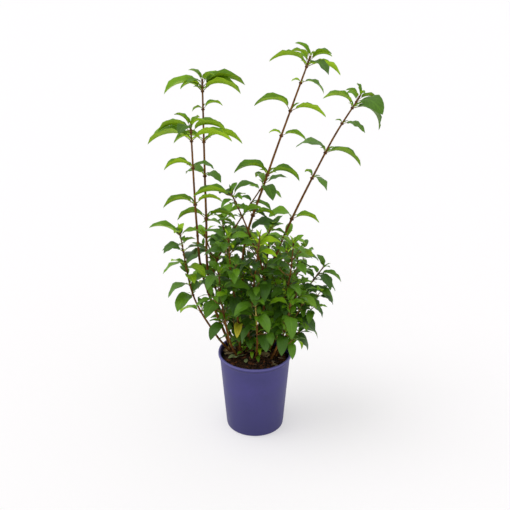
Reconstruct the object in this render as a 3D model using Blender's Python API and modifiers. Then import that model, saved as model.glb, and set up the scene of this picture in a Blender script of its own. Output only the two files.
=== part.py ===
"""Potted minuet lilac: a nursery pot, its potting bark, twenty-one woody stems and their leafy tops.

Units are metres, +Z is up, and the origin is the centre of the pot's flat underside.
Every stem runs along a smooth route from the potting bark to its tip. Its lower, bare
stretch is one node. Its upper stretch, with the side twigs and the opposite pairs of
leaves fused on, is a second node that starts just clear of the first one's end.
"""

import math
from collections import namedtuple

import bmesh
import bpy
from mathutils import Matrix, Vector
from mathutils.bvhtree import BVHTree

# Pot
POT_HEIGHT = 0.216
RIM_RADIUS = 0.095
BASE_RADIUS = 0.0745
WALL = 0.0018
FLOOR = 0.0025
BASE_CORNER = 0.004
RIM_HEIGHT = 0.008
RIM_OVERHANG = 0.0032
RIM_EDGE = 0.001
RIM_STEPS = 4
CORNER_STEPS = 3
POT_STEPS = 36
DRAIN_HOLES = 6
DRAIN_RADIUS = 0.005
DRAIN_CIRCLE = 0.052
DRAIN_SIDES = 12

# Potting bark
SOIL_TOP = 0.193
SOIL_EDGE_DROP = 0.004
SOIL_CLEARANCE = 0.0005
LEVEL_SHARE = 0.8

# Clearances between nodes
GAP = 0.0003
LEAF_CLEARANCE = 0.0005
WELD = 0.00001
SCRAP_WELD = 0.000001

# Leaves, whose shape follows one rule
PETIOLE = 0.014
PETIOLE_RADIUS = 0.0009
PETIOLE_SHARE = 0.2
LEAF_THICKNESS = 0.00095
LENGTH_TO_THICKNESS = 90.0
WIDEST = 0.43
BASE_POWER = 0.60
TIP_POWER = 0.90
NECK = 0.02
SECTIONS_LARGE = (0.36, 0.72)
SECTIONS_SMALL = (0.45,)
LARGE_LEAF = 0.060
PATH_STEPS = 24
SHORTEST_LEAF = 0.024
LOWEST_LEAF = 0.199
TURNS = (0, 16, -16, 32, -32)

# How a leaf stands: slopes in degrees, and how its midrib eases off the stem
RISE = 33.0
RISE_LEAN = 42.0
RISE_SPREAD = 7.0
DROOP_LEAN = 26.0
DROOP_SPREAD = 8.0
ROLL_SPREAD = 16.0
YOUNG_RISE = 38.0
YOUNG_DROOP = 45.0
TIP_AGE = 0.022
DROOP_POWER = 1.25
LEAVING_ALONG = 0.72
LEAVING_OUT = 0.70
LEAVING_SHARE = 0.35

# Pairs that follow the rule: distances below the tip, sizes and droop
FIRST_PAIR = 0.004
YOUNG_SPACING = 0.014
SPACING_SPREAD = 0.10
YOUNG_SIZE = 0.55
YOUNG_SPAN = 0.06
YOUNG_LIFT = 30.0
OLD_SAG = 20.0
OLD_SPAN = 0.2
BEARING_SPREAD = 24.0
LENGTH_SPREAD = 0.16
FREE_BELOW_PLACED = 0.6

# Side twigs
TWIG_LENGTH = 0.070
TWIG_RADIUS = 0.0015
TWIG_TIP_RADIUS = 0.0012
TWIG_BARE = 0.030
TWIG_SPACING = 0.028
TWIG_LEAF = 0.8
TWIG_FROM = 0.66
TWIG_TURN = 20.0
TWIG_PAIR_TURN = 70.0
TWIG_OUT = 0.75
TWIG_ALONG = 0.55
TWIG_RISE = 0.5

# Stems: the flare of a foot, a point just off each end of a joint, and the points of a solid
FLARE = 1.35
FLARE_RISE = 0.0018
STRAIGHT_FOOT = 0.015
JOINT_LEAD = 0.003
ROUTE_STEPS = 12
POINT_SPACING = 0.045
FLAT_ANGLE = math.radians(1.0)

# Ways to join a mass, tried in turn until one leaves it closed: solver, and angle of evened faces
UNION_TRIES = (("EXACT", FLAT_ANGLE), ("EXACT", 0.0), ("MANIFOLD", FLAT_ANGLE), ("MANIFOLD", 0.0))

READING_REACH = 0.004

UP = Vector((0.0, 0.0, 1.0))

Habit = namedtuple("Habit", "fold width droop")
Shoot = namedtuple("Shoot", "name foot route radius tip_radius bare pairs spacing leaf bearing habit")

# Habits: a blade's fold in degrees, its width as a share of its length, and its tip's tilt
SUNLIT = Habit(50.0, 0.46, -45.0)
BUSH = Habit(27.0, 0.52, -34.0)
SHADED = Habit(20.0, 0.54, -62.0)


def tall(name, foot, route, bare, pairs):
    """A tall stem, whose sparse pairs are placed one by one.

    Each pair is its distance below the tip, its bearing in degrees, and its two lengths.
    """
    return Shoot(name, foot, route, 0.0038, 0.0020, bare, pairs, None, None, None, SUNLIT)


def bushy(name, foot, route, bare, spacing, leaf, bearing, pairs=(), habit=BUSH):
    """A low stem, whose pairs follow the rule below any that are placed.

    The rule is even spacing, with each pair turned a quarter from the last.
    """
    return Shoot(name, foot, route, 0.0030, 0.0016, bare, pairs, spacing, leaf, bearing, habit)


SHOOTS = (
    tall("left_front_tall", (-0.061, 0.041),
         ((-0.128, 0.008, 0.419), (-0.141, -0.012, 0.576), (-0.1475, -0.032, 0.836)), 0.427,
         ((0.006, 150, 0.046, 0.040), (0.013, 245, 0.056, 0.044), (0.020, 355, 0.080, 0.074),
          (0.042, 176, 0.104, 0.092), (0.110, 190, 0.066, 0.050), (0.206, 184, 0.074, 0.062))),
    tall("left_back_tall", (-0.049, 0.051),
         ((-0.114, 0.033, 0.392), (-0.120, 0.030, 0.600), (-0.122, 0.032, 0.925)), 0.366,
         ((0.005, 140, 0.042, 0.040), (0.012, 215, 0.040, 0.052), (0.020, 8, 0.098, 0.050),
          (0.030, 174, 0.094, 0.090), (0.073, 30, 0.050, 0.028), (0.153, 4, 0.092, 0.070),
          (0.239, -35, 0.050, 0.060), (0.351, 184, 0.070, 0.070))),
    tall("centre_tall", (-0.024, 0.054),
         ((-0.030, 0.020, 0.477), (0.028, 0.000, 0.696), (0.124, -0.020, 0.992)), 0.373,
         ((0.005, 150, 0.044, 0.050), (0.012, 20, 0.052, 0.050), (0.019, -50, 0.064, 0.040),
          (0.027, 178, 0.086, 0.074), (0.067, -18, 0.058, 0.022), (0.138, 180, 0.086, 0.078),
          (0.202, -4, 0.054, 0.030), (0.307, 184, 0.082, 0.076), (0.340, -70, 0.060, 0.058),
          (0.421, 10, 0.052, 0.060))),
    tall("right_tall", (0.013, 0.046),
         ((0.045, 0.030, 0.450), (0.168, 0.050, 0.736), (0.248, 0.055, 0.880)), 0.365,
         ((0.005, 100, 0.040, 0.036), (0.012, 20, 0.046, 0.040), (0.019, -50, 0.080, 0.040),
          (0.037, -5, 0.090, 0.074), (0.081, -20, 0.056, 0.018), (0.163, 0, 0.090, 0.078),
          (0.233, -60, 0.060, 0.036), (0.348, 184, 0.060, 0.064))),
    bushy("left_outer", (-0.061, 0.026),
          ((-0.104, 0.012, 0.262), (-0.155, -0.018, 0.390), (-0.180, -0.048, 0.575)),
          0.130, 0.044, 0.060, 172,
          ((0.006, 250, 0.032, 0.026), (0.013, 176, 0.070, 0.044), (0.020, 110, 0.046, 0.028),
           (0.042, 212, 0.050, 0.036), (0.060, 176, 0.048, 0.056), (0.096, 218, 0.062, 0.064),
           (0.112, 318, 0.064, 0.050), (0.131, 292, 0.050, 0.044), (0.160, 214, 0.064, 0.054),
           (0.192, 236, 0.064, 0.048))),
    bushy("centre_front", (0.008, 0.031),
          ((0.025, -0.025, 0.420), (-0.014, -0.055, 0.573), (-0.056, -0.060, 0.680)),
          0.16, 0.044, 0.066, 170,
          ((0.005, 60, 0.030, 0.026), (0.012, 178, 0.086, 0.060), (0.017, 128, 0.050, 0.034),
           (0.024, 222, 0.040, 0.034), (0.044, 300, 0.038, 0.036), (0.070, 188, 0.048, 0.050),
           (0.117, 184, 0.062, 0.070))),
    bushy("centre_back", (-0.037, 0.064),
          ((-0.105, 0.068, 0.380), (-0.070, 0.085, 0.490), (0.027, 0.090, 0.650)),
          0.06, 0.046, 0.064, 150,
          ((0.006, 195, 0.036, 0.052), (0.030, 350, 0.052, 0.028), (0.070, 340, 0.050, 0.030),
           (0.098, 355, 0.054, 0.034), (0.150, 185, 0.050, 0.044))),
    bushy("centre_young", (-0.024, 0.024),
          ((-0.013, -0.005, 0.310), (-0.002, -0.050, 0.440), (0.012, -0.090, 0.585)),
          0.16, 0.040, 0.062, 10,
          ((0.034, 12, 0.052, 0.044), (0.058, 340, 0.044, 0.036), (0.085, 85, 0.044, 0.040))),
    bushy("right_front", (0.037, 0.031),
          ((0.065, -0.020, 0.343), (0.084, -0.054, 0.450), (0.092, -0.065, 0.552)),
          0.10, 0.026, 0.050, 20),
    bushy("right_outer", (0.042, 0.055),
          ((0.082, 0.030, 0.296), (0.130, 0.042, 0.370), (0.174, 0.048, 0.434)),
          0.07, 0.040, 0.066, 60,
          ((0.004, 125, 0.036, 0.026), (0.022, -12, 0.056, 0.032), (0.029, -62, 0.060, 0.040),
           (0.044, -30, 0.060, 0.042), (0.078, -20, 0.070, 0.046))),
    bushy("left_middle", (-0.037, 0.012),
          ((-0.045, -0.030, 0.346), (-0.057, -0.060, 0.452), (-0.063, -0.085, 0.578)),
          0.13, 0.042, 0.064, 190,
          ((0.005, 262, 0.034, 0.028), (0.013, 176, 0.058, 0.046), (0.021, 75, 0.058, 0.040))),
    bushy("left_low", (-0.045, 0.000),
          ((-0.066, -0.045, 0.280), (-0.080, -0.062, 0.380), (-0.088, -0.072, 0.480)),
          0.110, 0.038, 0.068, 150, (), SHADED),
    bushy("right_low", (0.055, 0.010),
          ((0.078, -0.020, 0.270), (0.095, -0.035, 0.350), (0.105, -0.040, 0.430)),
          0.072, 0.030, 0.068, 160, (), SHADED),
    bushy("front_low", (0.040, -0.012),
          ((0.058, -0.048, 0.262), (0.078, -0.080, 0.335), (0.086, -0.092, 0.410)),
          0.078, 0.030, 0.066, 100, (), SHADED),
    bushy("back_middle", (0.010, 0.066),
          ((0.020, 0.110, 0.330), (0.032, 0.125, 0.420), (0.038, 0.130, 0.500)),
          0.05, 0.042, 0.072, 0),
    bushy("back_left", (-0.012, 0.070),
          ((-0.036, 0.100, 0.300), (-0.068, 0.135, 0.420), (-0.085, 0.145, 0.520)),
          0.05, 0.040, 0.072, 52),
    bushy("back_right", (0.027, 0.067),
          ((0.078, 0.090, 0.300), (0.105, 0.115, 0.360), (0.112, 0.120, 0.430)),
          0.05, 0.042, 0.072, 30, (), SHADED),
    bushy("front_left", (0.002, -0.010),
          ((0.006, -0.042, 0.270), (0.004, -0.078, 0.345), (0.000, -0.092, 0.410)),
          0.105, 0.036, 0.060, 130, (), SHADED),
    bushy("right_middle", (0.030, 0.050),
          ((0.060, 0.050, 0.370), (0.075, 0.045, 0.450), (0.080, 0.045, 0.520)),
          0.10, 0.034, 0.060, 75),
    bushy("right_side", (0.060, 0.030),
          ((0.092, 0.015, 0.270), (0.115, 0.010, 0.335), (0.122, 0.010, 0.385)),
          0.05, 0.030, 0.066, 0, (), SHADED),
    bushy("left_inner", (-0.036, 0.042),
          ((-0.060, 0.062, 0.300), (-0.100, 0.090, 0.410), (-0.128, 0.080, 0.510)),
          0.09, 0.038, 0.064, 200),
)


def wobble(*keys):
    """A repeatable number from -1 to 1 for a few whole numbers."""
    weights = (12.9898, 78.233, 37.719, 9.151)
    mixed = math.sin(sum(key * weight for key, weight in zip(keys, weights))) * 43758.5453
    return 2.0 * (mixed - math.floor(mixed)) - 1.0


class Route:
    """A smooth line through a few points, read by distance along it."""

    def __init__(self, points):
        knots = [Vector(point) for point in points]
        knots = [2 * knots[0] - knots[1]] + knots + [2 * knots[-1] - knots[-2]]
        self.line = []
        for a, b, c, d in zip(knots, knots[1:], knots[2:], knots[3:]):
            for step in range(ROUTE_STEPS):
                t = step / ROUTE_STEPS
                bend = (2 * a - 5 * b + 4 * c - d) * t * t + (3 * b - a - 3 * c + d) * t ** 3
                self.line.append(0.5 * (2 * b + (c - a) * t + bend))
        self.line.append(knots[-2])
        self.run = [0.0]
        for start, end in zip(self.line, self.line[1:]):
            self.run.append(self.run[-1] + (end - start).length)
        self.length = self.run[-1]

    def at(self, distance):
        """The point at a distance from the foot."""
        distance = min(max(distance, 0.0), self.length)
        for index in range(1, len(self.run)):
            if distance <= self.run[index]:
                break
        share = (distance - self.run[index - 1]) / (self.run[index] - self.run[index - 1])
        return self.line[index - 1].lerp(self.line[index], share)

    def along(self, distance):
        """The direction at a distance from the foot."""
        ahead = self.at(distance + READING_REACH)
        return (ahead - self.at(distance - READING_REACH)).normalized()


class Leaf:
    """One leaf: a petiole that leaves its stem at a slant and a blade that arches over."""

    def __init__(self, habit, route, place, bearing, length, extra_droop, key):
        self.root = route.at(place)
        self.stem_way = route.along(place)
        angle = math.radians(bearing)
        self.heading = Vector((math.cos(angle), math.sin(angle), 0.0))
        self.length = length
        self.petiole = min(PETIOLE, PETIOLE_SHARE * length)
        self.width = habit.width * length
        self.fold = math.radians(habit.fold)
        lean = self.heading.dot(self.stem_way)
        youth = max(0.0, 1.0 - (route.length - place) / TIP_AGE)
        self.rise = RISE - RISE_LEAN * lean + RISE_SPREAD * wobble(*key, 1) + YOUNG_RISE * youth
        self.droop = (habit.droop - DROOP_LEAN * lean + DROOP_SPREAD * wobble(*key, 2)
                      + YOUNG_DROOP * youth + extra_droop)
        self.roll = math.radians(ROLL_SPREAD * wobble(*key, 5))

    def way(self, share):
        """The midrib's direction at a share of the blade, below 0 along the petiole."""
        blade = min(max(share, 0.0), 1.0)
        fall = (self.rise - self.droop) * (1.0 - blade) ** DROOP_POWER
        tilt = math.radians(self.droop + fall)
        free = self.heading * math.cos(tilt) + UP * math.sin(tilt)
        out = self.heading - self.stem_way * self.heading.dot(self.stem_way)
        start = (LEAVING_ALONG * self.stem_way + LEAVING_OUT * out.normalized()).normalized()
        leaving = LEAVING_SHARE * (self.petiole + self.length)
        mix = min(1.0, (share * self.length + self.petiole) / leaving)
        mix = mix * mix * (3.0 - 2.0 * mix)
        return (start * (1.0 - mix) + free * mix).normalized()

    def midrib(self, shares):
        """The midrib's points at some shares of the blade, from the root outwards."""
        first = -self.petiole / self.length
        step = (1.0 - first) / PATH_STEPS
        points = [self.root.copy()]
        for index in range(PATH_STEPS):
            middle = first + (index + 0.5) * step
            points.append(points[-1] + self.way(middle) * step * self.length)
        found = []
        for share in shares:
            place = min((share - first) / step, PATH_STEPS - 1e-6)
            index = int(place)
            found.append(points[index].lerp(points[index + 1], place - index))
        return found

    def half_width(self, share):
        """Half the blade's width: a power of each end's distance, 1 at the widest place."""
        base = (share / WIDEST) ** BASE_POWER
        tip = ((1.0 - share) / (1.0 - WIDEST)) ** TIP_POWER
        return 0.5 * self.width * base * tip

    def rings(self, pad):
        """The sections of the solid leaf and its tip.

        The petiole's rings have three corners and the blade's have four.
        """
        wide = SECTIONS_LARGE if self.length > LARGE_LEAF else SECTIONS_SMALL
        shares = [-self.petiole / self.length, NECK, *wide, 1.0]
        points = self.midrib(shares)
        level = Vector((-self.heading.y, self.heading.x, 0.0))
        rings = []
        for share, point in zip(shares[:-1], points[:-1]):
            way = self.way(share)
            normal = way.cross(level).normalized()
            side = level * math.cos(self.roll) + normal * math.sin(self.roll)
            face = normal * math.cos(self.roll) - level * math.sin(self.roll)
            if share <= NECK:
                stalk = PETIOLE_RADIUS + pad
                ring = [point + side * stalk + face * 0.5 * stalk,
                        point - side * stalk + face * 0.5 * stalk, point - face * stalk]
            else:
                half = self.half_width(share) * math.cos(self.fold) + pad
                lift = self.half_width(share) * math.sin(self.fold)
                least = max(LEAF_THICKNESS, self.length / LENGTH_TO_THICKNESS)
                thick = 0.5 * least / math.cos(self.fold) + pad
                ring = [point + side * half + face * lift, point + face * thick,
                        point - side * half + face * lift, point - face * thick]
            rings.append(ring)
        return rings, points[-1] + self.way(1.0) * pad

    def mesh(self, name, pad=0.0):
        """The closed solid: a loft from the sunk root to the pointed tip."""
        rings, tip = self.rings(pad)
        shape = bmesh.new()
        rows = [[shape.verts.new(corner) for corner in ring] for ring in rings]
        end = shape.verts.new(tip)
        shape.faces.new(rows[0])
        for low, high in zip(rows, rows[1:]):
            bridge(shape, low, high)
        last = rows[-1]
        for a in range(len(last)):
            shape.faces.new((last[a], end, last[(a + 1) % len(last)]))
        bmesh.ops.triangulate(shape, faces=shape.faces)
        bmesh.ops.recalc_face_normals(shape, faces=shape.faces)
        mesh = bpy.data.meshes.new(name)
        shape.to_mesh(mesh)
        shape.free()
        return mesh


def bridge(shape, low, high):
    """Faces between two rings, of which one of three corners opens at its top into four."""
    sides = range(len(low))
    if len(low) < len(high):
        shape.faces.new((low[0], high[0], high[1]))
        shape.faces.new((low[0], high[1], low[1]))
        shape.faces.new((low[1], high[1], high[2]))
        high = [high[0], high[2], high[3]]
        sides = (1, 2)
    for a in sides:
        b = (a + 1) % len(low)
        shape.faces.new((low[a], high[a], high[b], low[b]))


def make_collection(name):
    """An empty collection in the scene."""
    collection = bpy.data.collections.new(name)
    bpy.context.scene.collection.children.link(collection)
    return collection


def make_material(name, color, roughness):
    """A plain surface with the part's colour."""
    material = bpy.data.materials.new(name)
    material.use_nodes = True
    surface = material.node_tree.nodes["Principled BSDF"]
    surface.inputs["Base Color"].default_value = (*color, 1.0)
    surface.inputs["Roughness"].default_value = roughness
    surface.inputs["Metallic"].default_value = 0.0
    material.diffuse_color = (*color, 1.0)
    return material


def add_object(name, mesh, collection, material=None):
    """A mesh object in a collection."""
    item = bpy.data.objects.new(name, mesh)
    if material is not None:
        mesh.materials.clear()
        mesh.materials.append(material)
    collection.objects.link(item)
    return item


def evaluated_mesh(item, name):
    """The mesh of an object with its modifiers, and a curve's caps welded."""
    bpy.context.view_layer.update()
    graph = bpy.context.evaluated_depsgraph_get()
    mesh = bpy.data.meshes.new_from_object(item.evaluated_get(graph))
    mesh.name = name
    return mesh


def turned(name, profile, collection, material):
    """A solid of revolution round Z from a profile that runs down its outer side."""
    shape = bmesh.new()
    corners = [shape.verts.new((radius, 0.0, height)) for radius, height in profile]
    for start, end in zip(corners, corners[1:]):
        shape.edges.new((start, end))
    if profile[-1][0] > 0.0:
        shape.edges.new((corners[-1], corners[0]))
    mesh = bpy.data.meshes.new(name)
    shape.to_mesh(mesh)
    shape.free()
    item = add_object(name, mesh, collection, material)
    screw = item.modifiers.new("turn", "SCREW")
    screw.steps = POT_STEPS
    screw.render_steps = POT_STEPS
    screw.use_merge_vertices = True
    screw.merge_threshold = WELD
    screw.use_normal_calculate = True
    return item


def arc(centre, radius, start, end, steps):
    """Points on an arc in the profile's plane, angles in degrees from +X."""
    points = []
    for step in range(steps + 1):
        angle = math.radians(start + (end - start) * step / steps)
        points.append((centre[0] + radius * math.cos(angle), centre[1] + radius * math.sin(angle)))
    return points


def wall_radius(height):
    """Outer radius of the tapering wall at a height."""
    top = RIM_RADIUS - RIM_OVERHANG
    return BASE_RADIUS + (top - BASE_RADIUS) * height / POT_HEIGHT


def make_pot(collection, cutters, material):
    """A thin tapering shell with a rolled rim, a flat underside and drain holes."""
    rim_low = POT_HEIGHT - RIM_HEIGHT
    roll = 0.5 * (RIM_RADIUS - wall_radius(rim_low) + WALL)
    roll_centre = (RIM_RADIUS - roll, POT_HEIGHT - roll)
    corner_centre = (BASE_RADIUS - BASE_CORNER, BASE_CORNER)
    profile = arc(roll_centre, roll, 180, 0, RIM_STEPS)
    profile += [(RIM_RADIUS, rim_low + RIM_EDGE), (RIM_RADIUS - RIM_EDGE, rim_low)]
    profile += [(wall_radius(rim_low), rim_low)]
    profile += arc(corner_centre, BASE_CORNER, 0, -90, CORNER_STEPS)
    profile += [(0.0, 0.0), (0.0, FLOOR)]
    profile += [(BASE_RADIUS - WALL - BASE_CORNER, FLOOR)]
    profile += [(wall_radius(BASE_CORNER) - WALL, FLOOR + BASE_CORNER)]
    pot = turned("pot", profile + [profile[0]], collection, material)
    for index in range(DRAIN_HOLES):
        angle = math.tau * index / DRAIN_HOLES
        place = (DRAIN_CIRCLE * math.cos(angle), DRAIN_CIRCLE * math.sin(angle), 0.5 * FLOOR)
        bpy.ops.mesh.primitive_cylinder_add(vertices=DRAIN_SIDES, radius=DRAIN_RADIUS,
                                            depth=4 * FLOOR, location=place)
        cutter = bpy.context.active_object
        cutter.name = f"drain_cutter_{index + 1}"
        for owner in cutter.users_collection:
            owner.objects.unlink(cutter)
        cutters.objects.link(cutter)
        cutter.hide_render = True
        cutter.display_type = "WIRE"
    cut = pot.modifiers.new("drains", "BOOLEAN")
    cut.operation = "DIFFERENCE"
    cut.operand_type = "COLLECTION"
    cut.collection = cutters
    cut.solver = "EXACT"
    pot.data.shade_smooth()
    return pot


def make_soil(collection, material):
    """The root ball and potting bark, clear of the pot's wall and floor."""
    bottom = FLOOR + GAP
    edge = SOIL_TOP - SOIL_EDGE_DROP
    clear = WALL + SOIL_CLEARANCE
    profile = [(0.0, SOIL_TOP), (LEVEL_SHARE * wall_radius(SOIL_TOP), SOIL_TOP),
               (wall_radius(edge) - clear, edge),
               (wall_radius(bottom + BASE_CORNER) - clear, bottom + BASE_CORNER),
               (BASE_RADIUS - clear - BASE_CORNER, bottom), (0.0, bottom)]
    return turned("soil", profile, collection, material)


def stem_curve(name, points, radii, sides_level, collection):
    """A tapering stem as a mesh, from a curve with a bevel and filled caps."""
    curve = bpy.data.curves.new(name, "CURVE")
    curve.dimensions = "3D"
    curve.bevel_depth = 1.0
    curve.bevel_resolution = sides_level
    curve.use_fill_caps = True
    curve.twist_mode = "MINIMUM"
    spline = curve.splines.new("POLY")
    spline.points.add(len(points) - 1)
    for knot, point, radius in zip(spline.points, points, radii):
        knot.co = (*point, 1.0)
        knot.radius = radius
    guide = bpy.data.objects.new(name + "_guide", curve)
    collection.objects.link(guide)
    mesh = evaluated_mesh(guide, name)
    bpy.data.objects.remove(guide)
    bpy.data.curves.remove(curve)
    shape = bmesh.new()
    shape.from_mesh(mesh)
    bmesh.ops.remove_doubles(shape, verts=shape.verts, dist=WELD)
    bmesh.ops.triangulate(shape, faces=shape.faces)
    bmesh.ops.recalc_face_normals(shape, faces=shape.faces)
    shape.to_mesh(mesh)
    shape.free()
    return mesh


def spaced(start, end):
    """Distances from start to end, about a point spacing apart."""
    count = max(2, math.ceil((end - start) / POINT_SPACING))
    return [start + (end - start) * step / count for step in range(count + 1)]


def radius_at(shoot, route, distance):
    """A stem's radius, which falls evenly from foot to tip."""
    return shoot.radius + (shoot.tip_radius - shoot.radius) * distance / route.length


def bare_stem(shoot, route, collection, material):
    """The leafless lower stretch, cut flat where it meets the bark."""
    foot = Vector((*shoot.foot, SOIL_TOP + GAP))
    end = shoot.bare - GAP
    stops = spaced(STRAIGHT_FOOT, end - JOINT_LEAD) + [end]
    points = [foot, foot + UP * FLARE_RISE] + [route.at(stop) for stop in stops]
    radii = [FLARE * shoot.radius] * 2 + [radius_at(shoot, route, stop) for stop in stops]
    name = f"stem_{shoot.name}"
    return add_object(name, stem_curve(name, points, radii, 1, collection), collection, material)


def leafy_stem_mesh(shoot, route, name, collection):
    """The upper stretch of a stem, which carries the leaves of its mass."""
    stops = [shoot.bare] + spaced(shoot.bare + JOINT_LEAD, route.length)
    points = [route.at(stop) for stop in stops]
    radii = [radius_at(shoot, route, stop) for stop in stops]
    return stem_curve(name, points, radii, 0, collection)


def pairs_by_rule(route, bare, spacing, leaf, bearing, seed):
    """Opposite pairs from the tip down, each turned a quarter from the last."""
    index = 0
    while True:
        below = FIRST_PAIR + YOUNG_SPACING * index
        if index > 1:
            spread = 1 + SPACING_SPREAD * wobble(seed, index, 9)
            below = FIRST_PAIR + YOUNG_SPACING + spacing * (index - 1) * spread
        if route.length - below < bare:
            return
        youth = min(1.0, YOUNG_SIZE + below / YOUNG_SPAN)
        extra = YOUNG_LIFT * (1 - youth) - OLD_SAG * min(1.0, below / OLD_SPAN)
        for side in (0, 1):
            swing = BEARING_SPREAD * wobble(seed, index, side, 11)
            turn = bearing + 90 * index + 180 * side + swing
            length = leaf * youth * (1 + LENGTH_SPREAD * wobble(seed, index, side, 12))
            yield index, side, route.length - below, turn, length, extra
        index += 1


def twig_route(route, place, turn):
    """The route of a side twig, which leaves at a slant and then rises."""
    angle = math.radians(turn + TWIG_TURN)
    heading = Vector((math.cos(angle), math.sin(angle), 0.0))
    out = (TWIG_OUT * heading + TWIG_ALONG * route.along(place)).normalized()
    root = route.at(place)
    middle = root + 0.5 * TWIG_LENGTH * out
    tip = middle + 0.5 * TWIG_LENGTH * (out + TWIG_RISE * UP).normalized()
    return Route((root, middle, tip))


def shoot_growth(shoot, route, seed):
    """All leaves and side twigs of a shoot, as lists of leaves and of twig routes."""
    leaves = []
    twigs = []
    for index, (below, bearing, one, other) in enumerate(shoot.pairs):
        for side, length in enumerate((one, other)):
            turn = bearing + 180 * side
            leaf = Leaf(shoot.habit, route, route.length - below, turn, length, 0,
                        (seed, index, side))
            leaves.append((None, leaf))
    if shoot.leaf is None:
        return leaves, twigs
    first = shoot.pairs[-1][0] + FREE_BELOW_PLACED * shoot.spacing if shoot.pairs else 0.0
    rule = pairs_by_rule(route, shoot.bare, shoot.spacing, shoot.leaf, shoot.bearing, seed)
    for index, side, place, turn, length, extra in rule:
        if route.length - place < first:
            continue
        leaf = Leaf(shoot.habit, route, place, turn, length, extra, (seed, index, side))
        leaves.append((None, leaf))
        if index > 1 and wobble(seed, index, side, 14) > TWIG_FROM:
            twig = twig_route(route, place, turn)
            twigs.append(twig)
            twig_seed = seed * 10 + index + 3 * side
            twig_rule = pairs_by_rule(twig, TWIG_BARE, TWIG_SPACING, TWIG_LEAF * shoot.leaf,
                                      turn + TWIG_PAIR_TURN, twig_seed)
            for row, edge, spot, way, size, more in twig_rule:
                leaf = Leaf(shoot.habit, twig, spot, way, size, more, (twig_seed, row, edge))
                leaves.append((len(twigs) - 1, leaf))
    return leaves, twigs


def tree_of(mesh):
    """A search tree over a mesh's faces."""
    corners = [vertex.co.copy() for vertex in mesh.vertices]
    faces = [tuple(face.vertices) for face in mesh.polygons]
    return BVHTree.FromPolygons(corners, faces)


def touches(mesh, owner, trees):
    """True where a mesh reaches any node but its owner."""
    own = tree_of(mesh)
    return any(name != owner and own.overlap(tree) for name, tree in trees)


def settle(leaf, owner, trees):
    """Turns a leaf round its stem until it is clear of every other node, if it can be."""
    heading = leaf.heading
    for turn in TURNS:
        leaf.heading = Matrix.Rotation(math.radians(turn), 3, "Z") @ heading
        low = min(point.z for point in leaf.midrib((0.5, 1.0)))
        if low > LOWEST_LEAF and not touches(leaf.mesh("probe", LEAF_CLEARANCE), owner, trees):
            return True
    return False


def outer_shell(mesh, flat_angle):
    """Keeps the largest closed shell, so that hollows fill and scraps go, and evens flat faces."""
    shape = bmesh.new()
    shape.from_mesh(mesh)
    bmesh.ops.remove_doubles(shape, verts=shape.verts, dist=SCRAP_WELD)
    unseen = set(shape.verts)
    shells = []
    while unseen:
        queue = [unseen.pop()]
        shell = set(queue)
        while queue:
            for edge in queue.pop().link_edges:
                for vertex in edge.verts:
                    if vertex in unseen:
                        unseen.discard(vertex)
                        shell.add(vertex)
                        queue.append(vertex)
        shells.append(shell)
    shells.sort(key=len)
    for shell in shells[:-1]:
        bmesh.ops.delete(shape, geom=list(shell), context="VERTS")
    if flat_angle > 0.0:
        bmesh.ops.dissolve_limit(shape, angle_limit=flat_angle, verts=shape.verts,
                                 edges=shape.edges)
    bmesh.ops.triangulate(shape, faces=shape.faces)
    shape.to_mesh(mesh)
    shape.free()


def is_closed(mesh):
    """True where every edge has exactly two faces."""
    shape = bmesh.new()
    shape.from_mesh(mesh)
    closed = bool(shape.faces) and all(len(edge.link_faces) == 2 for edge in shape.edges)
    shape.free()
    return closed


def fuse(name, stem_mesh, growth, collection, material):
    """One Boolean union of a stem with everything in the growth collection."""
    stem = add_object(name, stem_mesh, collection, material)
    union = stem.modifiers.new("fuse", "BOOLEAN")
    union.operation = "UNION"
    union.operand_type = "COLLECTION"
    union.collection = growth
    for solver, flat_angle in UNION_TRIES:
        union.solver = solver
        mesh = evaluated_mesh(stem, name)
        outer_shell(mesh, flat_angle)
        if is_closed(mesh):
            break
    stem.modifiers.remove(union)
    stem.data = mesh
    mesh.materials.clear()
    mesh.materials.append(material)
    for item in list(growth.objects):
        bpy.data.objects.remove(item)
    return stem


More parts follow.
